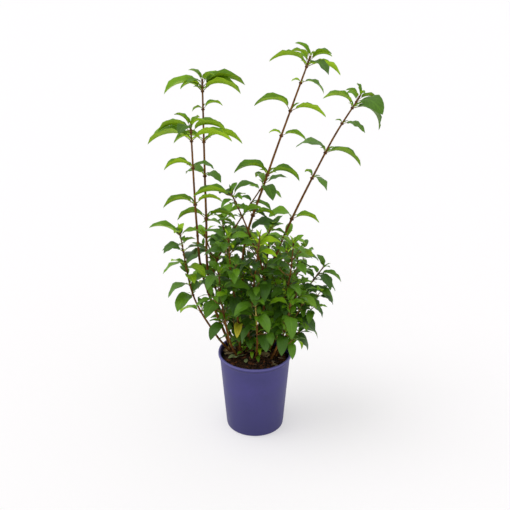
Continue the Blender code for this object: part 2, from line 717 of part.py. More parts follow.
def main():
    for item in list(bpy.data.objects):
        bpy.data.objects.remove(item)
    parts = make_collection("potted_minuet_lilac")
    cutters = make_collection("cutters")
    growth = make_collection("growth")

    plastic = make_material("pot_plastic", (0.085, 0.07, 0.21), 0.62)
    bark_mix = make_material("potting_bark", (0.035, 0.020, 0.012), 0.95)
    cane = make_material("cane_bark", (0.12, 0.052, 0.024), 0.8)
    green = make_material("leaf_green", (0.075, 0.19, 0.022), 0.55)

    pot = make_pot(parts, cutters, plastic)
    soil = make_soil(parts, bark_mix)
    trees = [("pot", tree_of(evaluated_mesh(pot, "pot_probe"))),
             ("soil", tree_of(evaluated_mesh(soil, "soil_probe")))]

    plans = []
    for seed, shoot in enumerate(SHOOTS, start=1):
        route = Route(((*shoot.foot, SOIL_TOP),) + shoot.route)
        mass = f"foliage_{shoot.name}"
        stem = bare_stem(shoot, route, parts, cane)
        trees.append((stem.name, tree_of(stem.data)))
        mesh = leafy_stem_mesh(shoot, route, mass, parts)
        trees.append((mass, tree_of(mesh)))
        plans.append((seed, shoot, route, mass, mesh))

    kept = 0
    skipped = 0
    for seed, shoot, route, mass, mesh in plans:
        leaves, twigs = shoot_growth(shoot, route, seed)
        lost = set()
        for index, twig in enumerate(twigs):
            stops = spaced(0.0, twig.length)
            radii = [TWIG_RADIUS + (TWIG_TIP_RADIUS - TWIG_RADIUS) * stop / twig.length
                     for stop in stops]
            points = [twig.at(stop) for stop in stops]
            twig_mesh = stem_curve(f"{mass}_twig_{index}", points, radii, 0, parts)
            if touches(twig_mesh, mass, trees):
                lost.add(index)
                continue
            add_object(f"{mass}_twig_{index}", twig_mesh, growth)
            trees.append((mass, tree_of(twig_mesh)))
        for index, (twig_index, leaf) in enumerate(leaves):
            if leaf.length < SHORTEST_LEAF or twig_index in lost:
                skipped += 1
                continue
            if not settle(leaf, mass, trees):
                skipped += 1
                continue
            kept += 1
            leaf_mesh = leaf.mesh(f"{mass}_leaf_{index}")
            trees.append((mass, tree_of(leaf_mesh)))
            add_object(f"{mass}_leaf_{index}", leaf_mesh, growth)
        fuse(mass, mesh, growth, parts, green)
    print("leaves kept", kept, "skipped", skipped)


main()
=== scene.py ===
"""Looks of the potted minuet lilac: twenty-one stems in leaf, in a violet nursery pot.

Units are metres, +Z is up, and the pot's flat underside is centred on the origin. The shoots
and their growth rule are those of the part's source, written again here for whole arrays of
leaves and carried on to finer twigs. Every surface is worked out with numpy: a closed grid of
rows and columns whose first and last rows close in a point.
"""

import logging
import math
from dataclasses import dataclass, field
from enum import Enum, IntEnum

import bpy
import numpy as np
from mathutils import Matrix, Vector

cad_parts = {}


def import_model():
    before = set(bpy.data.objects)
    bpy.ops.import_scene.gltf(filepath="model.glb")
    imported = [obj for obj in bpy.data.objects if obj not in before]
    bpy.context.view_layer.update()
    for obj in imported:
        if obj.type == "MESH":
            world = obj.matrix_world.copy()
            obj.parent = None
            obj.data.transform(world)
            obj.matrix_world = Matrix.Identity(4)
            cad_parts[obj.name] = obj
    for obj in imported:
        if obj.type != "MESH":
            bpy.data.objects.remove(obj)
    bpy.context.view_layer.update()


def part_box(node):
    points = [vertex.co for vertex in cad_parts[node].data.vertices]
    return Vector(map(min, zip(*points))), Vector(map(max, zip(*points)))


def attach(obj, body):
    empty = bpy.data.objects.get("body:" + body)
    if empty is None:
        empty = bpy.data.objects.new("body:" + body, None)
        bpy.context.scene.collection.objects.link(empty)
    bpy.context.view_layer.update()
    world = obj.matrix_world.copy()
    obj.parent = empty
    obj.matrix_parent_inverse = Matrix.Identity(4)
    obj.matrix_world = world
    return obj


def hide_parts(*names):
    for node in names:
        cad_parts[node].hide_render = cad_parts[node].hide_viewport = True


Array = np.ndarray
Arrays = tuple[Array, Array]
Socket = bpy.types.NodeSocket
Span = tuple[float, float]
Point = tuple[float, float, float]
Colour = tuple[float, float, float]
Knots = tuple[Point, Point, Point]
Pairs = tuple[tuple[float, float, float, float], ...]
Key = tuple[int, int, int]

UP = np.array((0.0, 0.0, 1.0))
BODY = "root"
SOIL_TOP = 0.193

log = logging.getLogger("potted_minuet_lilac")


class Tone(IntEnum):
    """Leaf colours, each a finish of its own, dealt out by spray."""

    LIME = 0
    BRIGHT = 1
    FRESH = 2
    MATURE = 3
    DEEP = 4
    YELLOWED = 5


@dataclass(frozen=True)
class Habit:
    """How the leaves of a spray are coloured and shaped.

    The youngest tone is that of the smallest leaves at a tip, and the shares say how often
    the others get each tone from lime to deep. The fold raises each half of a blade from
    flat, and differs by its spread. The width is a share of the length, and the droop is the
    tilt of a leaf's tip on an upright stem. Angles are in degrees.
    """

    youngest: Tone
    shares: tuple[float, float, float, float, float]
    fold: float
    fold_spread: float
    width: float
    droop: float


class Spray(Enum):
    """The kinds of spray on the plant."""

    # Tones partly painted: lighter in the sunlit spray as painted light, deeper in the shaded and
    # inner sprays as painted shade.
    SUNLIT = Habit(Tone.BRIGHT, (0.04, 0.34, 0.40, 0.22, 0.00), 57.0, 9.0, 0.46, -45.0)
    UPPER = Habit(Tone.MATURE, (0.00, 0.06, 0.30, 0.38, 0.26), 30.0, 12.0, 0.54, -40.0)
    HANGING = Habit(Tone.FRESH, (0.00, 0.00, 0.30, 0.40, 0.30), 34.0, 8.0, 0.50, -86.0)
    OPEN = Habit(Tone.FRESH, (0.00, 0.04, 0.26, 0.40, 0.30), 18.0, 8.0, 0.58, -54.0)
    BUSH = Habit(Tone.LIME, (0.02, 0.07, 0.28, 0.40, 0.23), 27.0, 12.0, 0.54, -34.0)
    SHADED = Habit(Tone.FRESH, (0.01, 0.05, 0.26, 0.43, 0.25), 22.0, 10.0, 0.50, -62.0)
    YELLOWING = Habit(Tone.LIME, (0.12, 0.18, 0.42, 0.28, 0.00), 28.0, 10.0, 0.56, -38.0)
    SUCKER = Habit(Tone.BRIGHT, (0.15, 0.35, 0.35, 0.15, 0.00), 24.0, 8.0, 0.42, -48.0)
    INNER = Habit(Tone.DEEP, (0.00, 0.00, 0.08, 0.42, 0.50), 20.0, 10.0, 0.52, -40.0)


@dataclass(frozen=True)
class Shoot:
    """One stem of the plant, in the measures of the part's source.

    It runs from its foot on the peat through its knots. Pairs are placed from the tip down:
    distance below the tip, bearing in degrees and two lengths. Where a leaf length is given,
    the rule carries on below them with its own spacing and first bearing, down to the
    leafless stretch. The pale stretch has tan bark, the spire counts the pairs of the bud at
    the tip, and the radii are those of foot and tip.
    """

    name: str
    foot: Span
    knots: Knots
    bare: float
    spacing: float = 0.0
    leaf: float = 0.0
    bearing: float = 0.0
    pairs: Pairs = ()
    spray: Spray = Spray.BUSH
    pale: Span = (0.0, 0.0)
    spire: int = 2
    radii: Span = (0.0030, 0.0016)


def tall(name: str, foot: Span, knots: Knots, bare: float, pairs: Pairs) -> Shoot:
    """A thicker stem that stands clear above the bush, with placed pairs alone."""
    return Shoot(name, foot, knots, bare, pairs=pairs, spray=Spray.SUNLIT,
                 radii=(0.0038, 0.0020))


SHOOTS: tuple[Shoot, ...] = (
    tall("left_front_tall", (-0.061, 0.041),
         ((-0.128, 0.008, 0.419), (-0.141, -0.012, 0.576), (-0.1475, -0.032, 0.836)), 0.427,
         ((0.006, 150, 0.046, 0.04), (0.013, 245, 0.056, 0.044), (0.02, 355, 0.08, 0.074),
          (0.042, 176, 0.104, 0.092), (0.11, 190, 0.066, 0.05), (0.206, 184, 0.074, 0.062))),
    tall("left_back_tall", (-0.049, 0.051),
         ((-0.114, 0.033, 0.392), (-0.12, 0.03, 0.6), (-0.122, 0.032, 0.925)), 0.366,
         ((0.005, 140, 0.042, 0.04), (0.012, 215, 0.04, 0.052), (0.02, 8, 0.098, 0.05),
          (0.03, 174, 0.094, 0.09), (0.073, 30, 0.05, 0.028), (0.153, 4, 0.092, 0.07),
          (0.239, -35, 0.05, 0.06), (0.351, 184, 0.07, 0.07))),
    tall("centre_tall", (-0.024, 0.054),
         ((-0.03, 0.02, 0.477), (0.028, 0.0, 0.696), (0.124, -0.02, 0.992)), 0.373,
         ((0.005, 150, 0.044, 0.05), (0.012, 20, 0.052, 0.05), (0.019, -50, 0.064, 0.04),
          (0.027, 178, 0.086, 0.074), (0.067, -18, 0.058, 0.022), (0.138, 180, 0.086, 0.078),
          (0.202, -4, 0.054, 0.03), (0.307, 184, 0.082, 0.076), (0.34, -70, 0.06, 0.058),
          (0.421, 10, 0.052, 0.06))),
    tall("right_tall", (0.013, 0.046),
         ((0.045, 0.03, 0.45), (0.168, 0.05, 0.736), (0.248, 0.055, 0.88)), 0.365,
         ((0.005, 100, 0.04, 0.036), (0.012, 20, 0.046, 0.04), (0.019, -50, 0.08, 0.04),
          (0.037, -5, 0.09, 0.074), (0.081, -20, 0.056, 0.018), (0.163, 0, 0.09, 0.078),
          (0.233, -60, 0.06, 0.036), (0.348, 184, 0.06, 0.064))),
    Shoot("left_outer", (-0.061, 0.026),
          ((-0.104, 0.012, 0.262), (-0.155, -0.018, 0.39), (-0.18, -0.048, 0.575)),
          0.13, 0.044, 0.06, 172,
          ((0.006, 250, 0.032, 0.026), (0.013, 176, 0.07, 0.044), (0.02, 110, 0.046, 0.028),
           (0.042, 212, 0.05, 0.036), (0.06, 176, 0.048, 0.056), (0.096, 218, 0.062, 0.064),
           (0.112, 318, 0.064, 0.05), (0.131, 292, 0.05, 0.044), (0.16, 214, 0.064, 0.054),
           (0.192, 236, 0.064, 0.048)), Spray.YELLOWING),
    Shoot("centre_front", (0.008, 0.031),
          ((0.025, -0.025, 0.42), (-0.014, -0.055, 0.573), (-0.056, -0.06, 0.68)),
          0.16, 0.044, 0.066, 170,
          ((0.005, 60, 0.03, 0.026), (0.012, 178, 0.086, 0.06), (0.017, 128, 0.05, 0.034),
           (0.024, 222, 0.04, 0.034), (0.044, 300, 0.038, 0.036), (0.07, 188, 0.048, 0.05),
           (0.117, 184, 0.062, 0.07)), Spray.UPPER),
    Shoot("centre_back", (-0.037, 0.064),
          ((-0.105, 0.068, 0.38), (-0.07, 0.085, 0.49), (0.027, 0.09, 0.65)),
          0.06, 0.046, 0.064, 150,
          ((0.006, 195, 0.036, 0.052), (0.03, 350, 0.052, 0.028), (0.07, 340, 0.05, 0.03),
           (0.098, 355, 0.054, 0.034), (0.15, 185, 0.05, 0.044)), Spray.UPPER),
    Shoot("centre_young", (-0.024, 0.024),
          ((-0.013, -0.005, 0.31), (-0.002, -0.05, 0.44), (0.012, -0.09, 0.585)),
          0.16, 0.04, 0.062, 10,
          ((0.034, 12, 0.052, 0.044), (0.058, 340, 0.044, 0.036), (0.085, 85, 0.044, 0.04)),
          Spray.BUSH, (0.09, 0.17), 5),
    Shoot("right_front", (0.037, 0.031),
          ((0.065, -0.02, 0.343), (0.084, -0.054, 0.45), (0.092, -0.065, 0.552)),
          0.1, 0.026, 0.05, 20),
    Shoot("right_outer", (0.042, 0.055),
          ((0.082, 0.03, 0.296), (0.13, 0.042, 0.37), (0.174, 0.048, 0.434)),
          0.07, 0.04, 0.066, 60,
          ((0.004, 125, 0.036, 0.026), (0.022, -12, 0.056, 0.032), (0.029, -62, 0.06, 0.04),
           (0.044, -30, 0.06, 0.042), (0.078, -20, 0.07, 0.046)), Spray.UPPER),
    Shoot("left_middle", (-0.037, 0.012),
          ((-0.045, -0.03, 0.346), (-0.057, -0.06, 0.452), (-0.063, -0.085, 0.578)),
          0.13, 0.042, 0.064, 190,
          ((0.005, 262, 0.034, 0.028), (0.013, 176, 0.058, 0.046), (0.021, 75, 0.058, 0.04))),
    Shoot("left_low", (-0.045, 0.0),
          ((-0.066, -0.045, 0.28), (-0.08, -0.062, 0.38), (-0.088, -0.072, 0.48)),
          0.11, 0.038, 0.068, 150, (), Spray.SHADED),
    Shoot("right_low", (0.055, 0.01),
          ((0.078, -0.02, 0.27), (0.095, -0.035, 0.35), (0.105, -0.04, 0.43)),
          0.072, 0.03, 0.068, 160, (), Spray.SHADED),
    Shoot("front_low", (0.04, -0.012),
          ((0.058, -0.048, 0.262), (0.078, -0.08, 0.335), (0.086, -0.092, 0.41)),
          0.078, 0.03, 0.066, 100, (), Spray.SHADED),
    Shoot("back_middle", (0.01, 0.066),
          ((0.02, 0.11, 0.33), (0.032, 0.125, 0.42), (0.038, 0.13, 0.5)),
          0.05, 0.042, 0.072, 0),
    Shoot("back_left", (-0.012, 0.07),
          ((-0.036, 0.1, 0.3), (-0.068, 0.135, 0.42), (-0.085, 0.145, 0.52)),
          0.05, 0.04, 0.072, 52),
    Shoot("back_right", (0.027, 0.067),
          ((0.078, 0.09, 0.3), (0.105, 0.115, 0.36), (0.112, 0.12, 0.43)),
          0.05, 0.042, 0.072, 30, (), Spray.SHADED),
    Shoot("front_left", (0.002, -0.01),
          ((0.006, -0.042, 0.27), (0.004, -0.078, 0.345), (0.0, -0.092, 0.41)),
          0.105, 0.036, 0.06, 130, (), Spray.SHADED, (0.155, 0.26)),
    Shoot("right_middle", (0.03, 0.05),
          ((0.06, 0.05, 0.37), (0.075, 0.045, 0.45), (0.08, 0.045, 0.52)),
          0.1, 0.034, 0.06, 75),
    Shoot("right_side", (0.06, 0.03),
          ((0.092, 0.015, 0.27), (0.115, 0.01, 0.335), (0.122, 0.01, 0.385)),
          0.05, 0.03, 0.066, 0, (), Spray.SHADED),
    Shoot("left_inner", (-0.036, 0.042),
          ((-0.06, 0.062, 0.3), (-0.1, 0.09, 0.41), (-0.128, 0.08, 0.51)),
          0.09, 0.038, 0.064, 200),
)


# Leaves that stand out, by shoot: a tone and a habit, and the row and side of each leaf that
# has them. Rows that follow the rule are counted from 100.
ACCENTS: dict[str, dict[tuple[Tone, Spray], tuple[tuple[int, int], ...]]] = {
    "left_front_tall": {(Tone.MATURE, Spray.OPEN): ((1, 0), (4, 1)),
                        (Tone.BRIGHT, Spray.SUNLIT): ((2, 1),)},
    "left_back_tall": {(Tone.MATURE, Spray.OPEN): ((1, 0), (6, 0), (6, 1)),
                       (Tone.BRIGHT, Spray.SUNLIT): ((2, 0),)},
    "centre_tall": {(Tone.MATURE, Spray.OPEN): ((2, 0), (8, 0)),
                    (Tone.MATURE, Spray.SUNLIT): ((7, 1),),
                    (Tone.FRESH, Spray.OPEN): ((4, 0),)},
    "right_tall": {(Tone.MATURE, Spray.OPEN): ((2, 0), (5, 1), (6, 0)),
                   (Tone.MATURE, Spray.HANGING): ((3, 0),),
                   (Tone.MATURE, Spray.SUNLIT): ((5, 0),),
                   (Tone.FRESH, Spray.OPEN): ((4, 0), (7, 0))},
    "left_outer": {(Tone.MATURE, Spray.OPEN): ((3, 0), (8, 0)),
                   (Tone.DEEP, Spray.OPEN): ((2, 0), (5, 1)),
                   (Tone.FRESH, Spray.OPEN): ((9, 0),),
                   (Tone.FRESH, Spray.SUNLIT): ((1, 0),),
                   (Tone.FRESH, Spray.YELLOWING): ((5, 0),),
                   (Tone.LIME, Spray.YELLOWING): ((6, 0), (7, 0))},
    "centre_front": {(Tone.FRESH, Spray.SUNLIT): ((1, 0),),
                     (Tone.DEEP, Spray.OPEN): ((2, 0),),
                     (Tone.MATURE, Spray.UPPER): ((1, 1), (105, 0)),
                     (Tone.DEEP, Spray.BUSH): ((107, 1),),
                     (Tone.MATURE, Spray.BUSH): ((108, 1),)},
    "centre_young": {(Tone.LIME, Spray.BUSH): ((0, 0), (1, 0)),
                     (Tone.FRESH, Spray.BUSH): ((2, 0),),
                     (Tone.MATURE, Spray.BUSH): ((106, 0),)},
    "left_middle": {(Tone.MATURE, Spray.BUSH): ((1, 0), (103, 1), (106, 1)),
                    (Tone.DEEP, Spray.BUSH): ((105, 0),),
                    (Tone.FRESH, Spray.OPEN): ((2, 0),)},
    "left_low": {(Tone.MATURE, Spray.BUSH): ((102, 0), (104, 1))},
    "front_left": {(Tone.MATURE, Spray.SHADED): ((100, 0), (100, 1)),
                   (Tone.DEEP, Spray.SHADED): ((103, 1),)},
    "right_outer": {(Tone.MATURE, Spray.UPPER): ((1, 0), (3, 0)),
                    (Tone.DEEP, Spray.OPEN): ((2, 0),)},
    "sucker_tall": {(Tone.LIME, Spray.SUCKER): ((0, 0),),
                    (Tone.YELLOWED, Spray.HANGING): ((1, 0),),
                    (Tone.LIME, Spray.HANGING): ((2, 0),)},
}


class Draw(IntEnum):
    """Which number is drawn for a leaf: the last key of its wobble."""

    RISE = 1
    DROOP = 2
    FOLD = 3
    PHASE = 4
    ROLL = 5
    WAVES = 6
    TWIST = 7
    WIDTH = 8
    SPACING = 9
    TURN = 11
    LENGTH = 12
    TWIG = 14
    TONE = 21
    LIME = 22
    SHADE = 23
    SPUR = 31
    SPUR_LENGTH = 32
    SPUR_TURN = 33
    SPUR_LEAF = 34
    TUFT = 35
    TUFT_LEAF = 36
    TUFT_TONE = 37


def wobble(*keys: Array | float) -> Array:
    """Repeatable numbers from -1 to 1: the fraction of a large sine of the weighted keys.

    Args:
        keys: Up to four whole numbers, or arrays of them.

    Returns:
        One number, or an array of them.
    """
    weights = (12.9898, 78.233, 37.719, 9.151)
    mixed = np.sin(sum(key * weight for key, weight in zip(keys, weights))) * 43758.5453
    return 2.0 * (mixed - np.floor(mixed)) - 1.0


def about(spread: float, *keys: Array | float) -> Array:
    """A factor that differs from 1 by a drawn number of up to the spread."""
    return 1.0 + spread * wobble(*keys)


def noise(points: Array, cell: float, seed: int) -> Array:
    """Smooth noise from -1 to 1: hashed corners of a cubic lattice, blended by smoothstep.

    Args:
        points: Places, with three numbers each in the last axis.
        cell: Side of the lattice's cubes.
        seed: Which noise.

    Returns:
        One number for each place.
    """
    scaled = points / cell
    corner = np.floor(scaled)
    share = scaled - corner
    share = share * share * (3.0 - 2.0 * share)
    total = np.zeros(points.shape[:-1])
    for step in np.ndindex(2, 2, 2):
        weight = np.where(np.array(step) == 1, share, 1.0 - share).prod(axis=-1)
        key = corner + np.array(step)
        total += weight * wobble(key[..., 0], key[..., 1], key[..., 2], seed)
    return total


def unit(vectors: Array) -> Array:
    """Vectors scaled to length one."""
    return vectors / np.linalg.norm(vectors, axis=-1, keepdims=True)


def bearing_ways(degrees: Array | float) -> Array:
    """Level directions from bearings in degrees, counted from +X towards +Y."""
    angle = np.radians(degrees)
    return np.stack((np.cos(angle), np.sin(angle), np.zeros_like(angle)), axis=-1)


def ring_ways(count: int) -> Array:
    """Level directions to places evenly spaced round a ring, from +X towards +Y."""
    angle = math.tau * np.arange(count) / count
    return np.stack((np.cos(angle), np.sin(angle), np.zeros(count)), axis=-1)


class Route:
    """A smooth Catmull-Rom line through a few knots, read by distance along it."""

    STEPS = 12
    REACH = 0.004

    def __init__(self, knots: Array | tuple) -> None:
        """Works out the line's points and the distance run at each.

        Args:
            knots: The points that the line passes through.
        """
        inner = np.array(knots, float)
        ends = 2 * inner[0] - inner[1], 2 * inner[-1] - inner[-2]
        full = np.vstack((ends[0], inner, ends[1]))
        a, b, c, d = (full[k:len(full) - 3 + k, None, :] for k in range(4))
        t = (np.arange(self.STEPS) / self.STEPS)[None, :, None]
        bend = (2 * a - 5 * b + 4 * c - d) * t ** 2 + (3 * b - a - 3 * c + d) * t ** 3
        line = 0.5 * (2 * b + (c - a) * t + bend)
        self.line = np.vstack((line.reshape(-1, 3), inner[-1]))
        steps = np.linalg.norm(np.diff(self.line, axis=0), axis=1)
        self.run = np.concatenate(([0.0], np.cumsum(steps)))
        self.length = float(self.run[-1])

    def at(self, distance: Array | float) -> Array:
        """The points at some distances from the foot."""
        return np.stack([np.interp(distance, self.run, self.line[:, k]) for k in range(3)], -1)

    def along(self, distance: Array | float) -> Array:
        """The directions at some distances from the foot."""
        return unit(self.at(distance + self.REACH) - self.at(distance - self.REACH))


@dataclass
class Bud:
    """One leaf to be: where it leaves its stem, which way, and how large it grows.

    The extra droop and the lift are in degrees, and the slenderness is a share of its width.
    """

    route: Route
    place: float
    bearing: float
    length: float
    extra: float
    key: Key
    tone: Tone
    habit: Habit
    lift: float = 0.0
    slender: float = 1.0


def closed_faces(rows: int, around: int) -> Arrays:
    """Faces of a closed body: rings between two poles, numbered pole, ring by ring, pole.

    A quad splits from its first corner. On the ring's second half the quads start one corner
    later, so that the two sides of a blade split along the same line and never cross.

    Args:
        rows: Number of rings.
        around: Number of corners of a ring.

    Returns:
        Triangles of the two fans, first pole before last, and quads between the rings.
    """
    here = np.arange(around)
    after = (here + 1) % around
    last = 1 + rows * around
    first_fan = np.stack((np.zeros_like(here), 1 + after, 1 + here), axis=1)
    last_ring = 1 + (rows - 1) * around
    last_fan = np.stack((last_ring + here, last_ring + after, np.full_like(here, last)), axis=1)
    ring = 1 + around * np.arange(rows - 1)[:, None]
    quads = np.stack((ring + here, ring + after, ring + around + after, ring + around + here), 2)
    second = here >= around // 2
    quads[:, second] = np.roll(quads[:, second], -1, axis=2)
    return np.vstack((first_fan, last_fan)), quads.reshape(-1, 4)


class Pile:
    """Corners, faces and maps of one piece, gathered from whole arrays."""

    def __init__(self) -> None:
        """Starts with nothing in it."""
        self.corners: list[Array] = []
        self.faces: list[list[int]] = []
        self.slots: list[Array] = []
        self.maps: list[Array] = []
        self.shades: list[Array] = []
        self.rims: list[Array] = []
        self.count = 0

    def add(self, rings: Array, ends: Array, slots: Array | None = None,
            shade: Array | None = None, around_u: Array | None = None,
            rims: tuple[int, ...] = ()) -> None:
        """Adds a batch of closed bodies of one make.

        Args:
            rings: Corners by body, ring and place round the ring.
            ends: The two poles of each body.
            slots: Material slot by body and by side of the ring, all the first if left out.
            shade: One number for each body, which its finish may read, or else 0.
            around_u: The map's second number by place round the ring, or else even steps.
            rims: Places round the ring where the surface has a crease.
        """
        bodies, rows, around = rings.shape[:3]
        slots = np.zeros((bodies, around)) if slots is None else slots
        shade = np.zeros(bodies) if shade is None else shade
        around_u = np.arange(around) / around if around_u is None else around_u
        corners = np.concatenate((ends[:, :1], rings.reshape(bodies, -1, 3), ends[:, 1:]), 1)
        fans, quads = closed_faces(rows, around)
        per = corners.shape[1]
        start = self.count + per * np.arange(bodies)[:, None, None]
        self.faces += (fans + start).reshape(-1, 3).tolist()
        self.faces += (quads + start).reshape(-1, 4).tolist()
        self.corners.append(corners.reshape(-1, 3))
        self.slots.append(np.tile(slots, (1, 2)).reshape(-1))
        self.slots.append(np.tile(slots, (1, rows - 1)).reshape(-1))
        along = np.repeat(np.linspace(0.0, 1.0, rows + 2)[1:-1], around)
        flat = np.stack((along, np.tile(around_u, rows)), axis=1)
        flat = np.vstack(((0.0, 0.5), flat, (1.0, 0.5)))
        self.maps.append(np.tile(flat, (bodies, 1)))
        self.shades.append(np.repeat(shade, per))
        edge = np.zeros((rows, around), bool)
        edge[:, list(rims)] = True
        edge = np.concatenate(([bool(rims)], edge.reshape(-1), [bool(rims)]))
        self.rims.append(np.tile(edge, bodies))
        self.count += bodies * per

    def make(self, name: str, materials: list[bpy.types.Material],
             smooth: bool = True) -> bpy.types.Object:
        """Makes the piece, with its map named follow and its number named shade.

        Args:
            name: Name of the piece.
            materials: Its finishes by slot.
            smooth: Whether its faces shade as one curved surface.

        Returns:
            The finished object, which rides on the plant's body.
        """
        mesh = bpy.data.meshes.new(name)
        mesh.from_pydata(np.concatenate(self.corners).tolist(), [], self.faces)
        for material in materials:
            mesh.materials.append(material)
        mesh.polygons.foreach_set("material_index", np.concatenate(self.slots).astype(np.int32))
        corner_of = np.empty(len(mesh.loops), np.int32)
        mesh.loops.foreach_get("vertex_index", corner_of)
        follow = mesh.uv_layers.new(name="follow")
        follow.uv.foreach_set("vector", np.concatenate(self.maps)[corner_of].ravel())
        shade = mesh.attributes.new("shade", "FLOAT", "POINT")
        shade.data.foreach_set("value", np.concatenate(self.shades))
        rim = np.concatenate(self.rims)
        if rim.any():
            ends = np.empty(2 * len(mesh.edges), np.int32)
            mesh.edges.foreach_get("vertices", ends)
            crease = mesh.attributes.new("sharp_edge", "BOOLEAN", "EDGE")
            crease.data.foreach_set("value", rim[ends.reshape(-1, 2)].all(axis=1))
        if smooth:
            mesh.shade_smooth()
        mesh.update()
        piece = bpy.data.objects.new(name, mesh)
        bpy.context.scene.collection.objects.link(piece)
        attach(piece, BODY)
        log.info("%s: %d faces", name, len(mesh.polygons))
        return piece


def tube_rings(points: Array, radii: Array, side: Array, around: int) -> Array:
    """Rings of tubes: at each point a circle square to the path, its first corner to a side.

    Args:
        points: Path points by tube.
        radii: Radius at each point, or at each corner of each ring.
        side: One direction by tube that is never along its path.
        around: Number of corners of a ring.

    Returns:
        Corners by tube, point and place round the ring.
    """
    ways = unit(np.gradient(points, axis=1))
    across = side[:, None, :] - ways * (side[:, None, :] * ways).sum(-1, keepdims=True)
    across = unit(across)
    upward = np.cross(ways, across)
    circle = ring_ways(around)
    ring = across[:, :, None] * circle[:, :1] + upward[:, :, None] * circle[:, 1:2]
    if radii.ndim == 2:
        radii = radii[:, :, None]
    return points[:, :, None] + ring * radii[..., None]


class Nodes:
    """A shader tree under construction, with short calls for its nodes and links."""

    def __init__(self, tree: bpy.types.NodeTree) -> None:
        """Holds the tree."""
        self.tree = tree

    def new(self, kind: str, values: dict[str | int, object] | None = None,
            **settings: object) -> bpy.types.Node:
        """Adds a node.

        Args:
            kind: Blender's name of the node type, without ShaderNode.
            values: Numbers for sockets, or outputs of other nodes to link to them.
            settings: Properties of the node.

        Returns:
            The node.
        """
        node = self.tree.nodes.new("ShaderNode" + kind)
        for key, value in settings.items():
            setattr(node, key, value)
        for key, value in (values or {}).items():
            self.feed(node.inputs[key], value)
        return node

    def feed(self, socket: Socket, value: object) -> None:
        """Links an output to a socket, or sets the socket's number or colour.

        Args:
            socket: The input.
            value: An output, a number, a vector or a colour.
        """
        if isinstance(value, Socket):
            self.tree.links.new(value, socket)
        elif isinstance(value, tuple) and len(value) == 3 and socket.type == "RGBA":
            socket.default_value = (*value, 1.0)
        else:
            socket.default_value = value

    def math(self, operation: str, *values: object) -> Socket:
        """The output of a Math node on up to three numbers or outputs."""
        node = self.new("Math", dict(enumerate(values)), operation=operation)
        return node.outputs[0]

    def span(self, value: object, start: float, end: float, low: float = 0.0,
             high: float = 1.0, ease: str = "LINEAR") -> Socket:
        """The output of a Map Range node: low where the value is at its start, high at its end."""
        node = self.new("MapRange", {0: value, 1: start, 2: end, 3: low, 4: high},
                        interpolation_type=ease)
        return node.outputs[0]

    def blend(self, share: object, low: object, high: object) -> Socket:
        """The output of a colour Mix node, whose colours are its inputs 6 and 7.

        Args:
            share: Share of the second colour.
            low: First colour.
            high: Second colour.

        Returns:
            The mixed colour.
        """
        node = self.new("Mix", data_type="RGBA")
        self.feed(node.inputs[0], share)
        self.feed(node.inputs[6], low)
        self.feed(node.inputs[7], high)
        return node.outputs[2]


def make_group(name: str, inputs: dict[str, float]) -> tuple[Nodes, bpy.types.Node, Socket]:
    """An empty shader node group with a Vector input, number inputs and the output Mask.

    Args:
        name: Name of the group.
        inputs: Number inputs with the values they start from.

    Returns:
        A builder for its tree, its input node, and the socket that takes the mask.
    """
    tree = bpy.data.node_groups.new(name, "ShaderNodeTree")
    tree.interface.new_socket("Vector", in_out="INPUT", socket_type="NodeSocketVector")
    for label, value in inputs.items():
        socket = tree.interface.new_socket(label, in_out="INPUT", socket_type="NodeSocketFloat")
        socket.default_value = value
    tree.interface.new_socket("Mask", in_out="OUTPUT", socket_type="NodeSocketFloat")
    start = tree.nodes.new("NodeGroupInput")
    return Nodes(tree), start, tree.nodes.new("NodeGroupOutput").inputs["Mask"]


@dataclass
class Effects:
    """The node groups that more than one material uses, each built once."""

    mottle: bpy.types.NodeTree = field(init=False)
    veins: bpy.types.NodeTree = field(init=False)

    def __post_init__(self) -> None:
        """Builds every group."""
        self.mottle = self.build_mottle()
        self.veins = self.build_veins()

    def build_mottle(self) -> bpy.types.NodeTree:
        """Broad and six times finer noise on a vector, mixed by the Fine share, about 0.5.

        Returns:
            The group.
        """
        nodes, start, end = make_group("surface_mottle", {"Scale": 20.0, "Fine": 0.3})
        vector, scale = start.outputs["Vector"], start.outputs["Scale"]
        broad = nodes.new("TexNoise", {"Vector": vector, "Scale": scale, "Detail": 3.0})
        finer = nodes.math("MULTIPLY", scale, 6.0)
        fine = nodes.new("TexNoise", {"Vector": vector, "Scale": finer, "Detail": 4.0})
        rest = nodes.math("SUBTRACT", 1.0, start.outputs["Fine"])
        first = nodes.math("MULTIPLY", broad.outputs["Fac"], rest)
        mask = nodes.math("MULTIPLY_ADD", fine.outputs["Fac"], start.outputs["Fine"], first)
        nodes.feed(end, mask)
        return nodes.tree

    def build_veins(self) -> bpy.types.NodeTree:
        """A midrib and fainter side veins on a leaf's own map.

        The map's first number runs from base to tip and its second is 0 and 1 at the edges. A
        side vein is where a sawtooth of the first less a share of the distance from the midrib
        is near its turn.

        Returns:
            The group.
        """
        nodes, start, end = make_group("leaf_veins", {"Count": 8.0, "Slant": 2.2})
        parts = nodes.new("SeparateXYZ", {0: start.outputs["Vector"]})
        offset = nodes.math("SUBTRACT", parts.outputs[1], 0.5)
        outward = nodes.math("MULTIPLY", nodes.math("ABSOLUTE", offset), 2.0)
        climbing = nodes.math("MULTIPLY", parts.outputs[0], start.outputs["Count"])
        leaning = nodes.math("MULTIPLY", outward, start.outputs["Slant"])
        saw = nodes.math("FRACT", nodes.math("SUBTRACT", climbing, leaning))
        off = nodes.math("ABSOLUTE", nodes.math("SUBTRACT", saw, 0.5))
        side = nodes.span(off, start=0.14, end=0.02, high=0.65, ease="SMOOTHSTEP")
        rib = nodes.span(outward, start=0.13, end=0.03, ease="SMOOTHSTEP")
        nodes.feed(end, nodes.math("MAXIMUM", side, rib))
        return nodes.tree


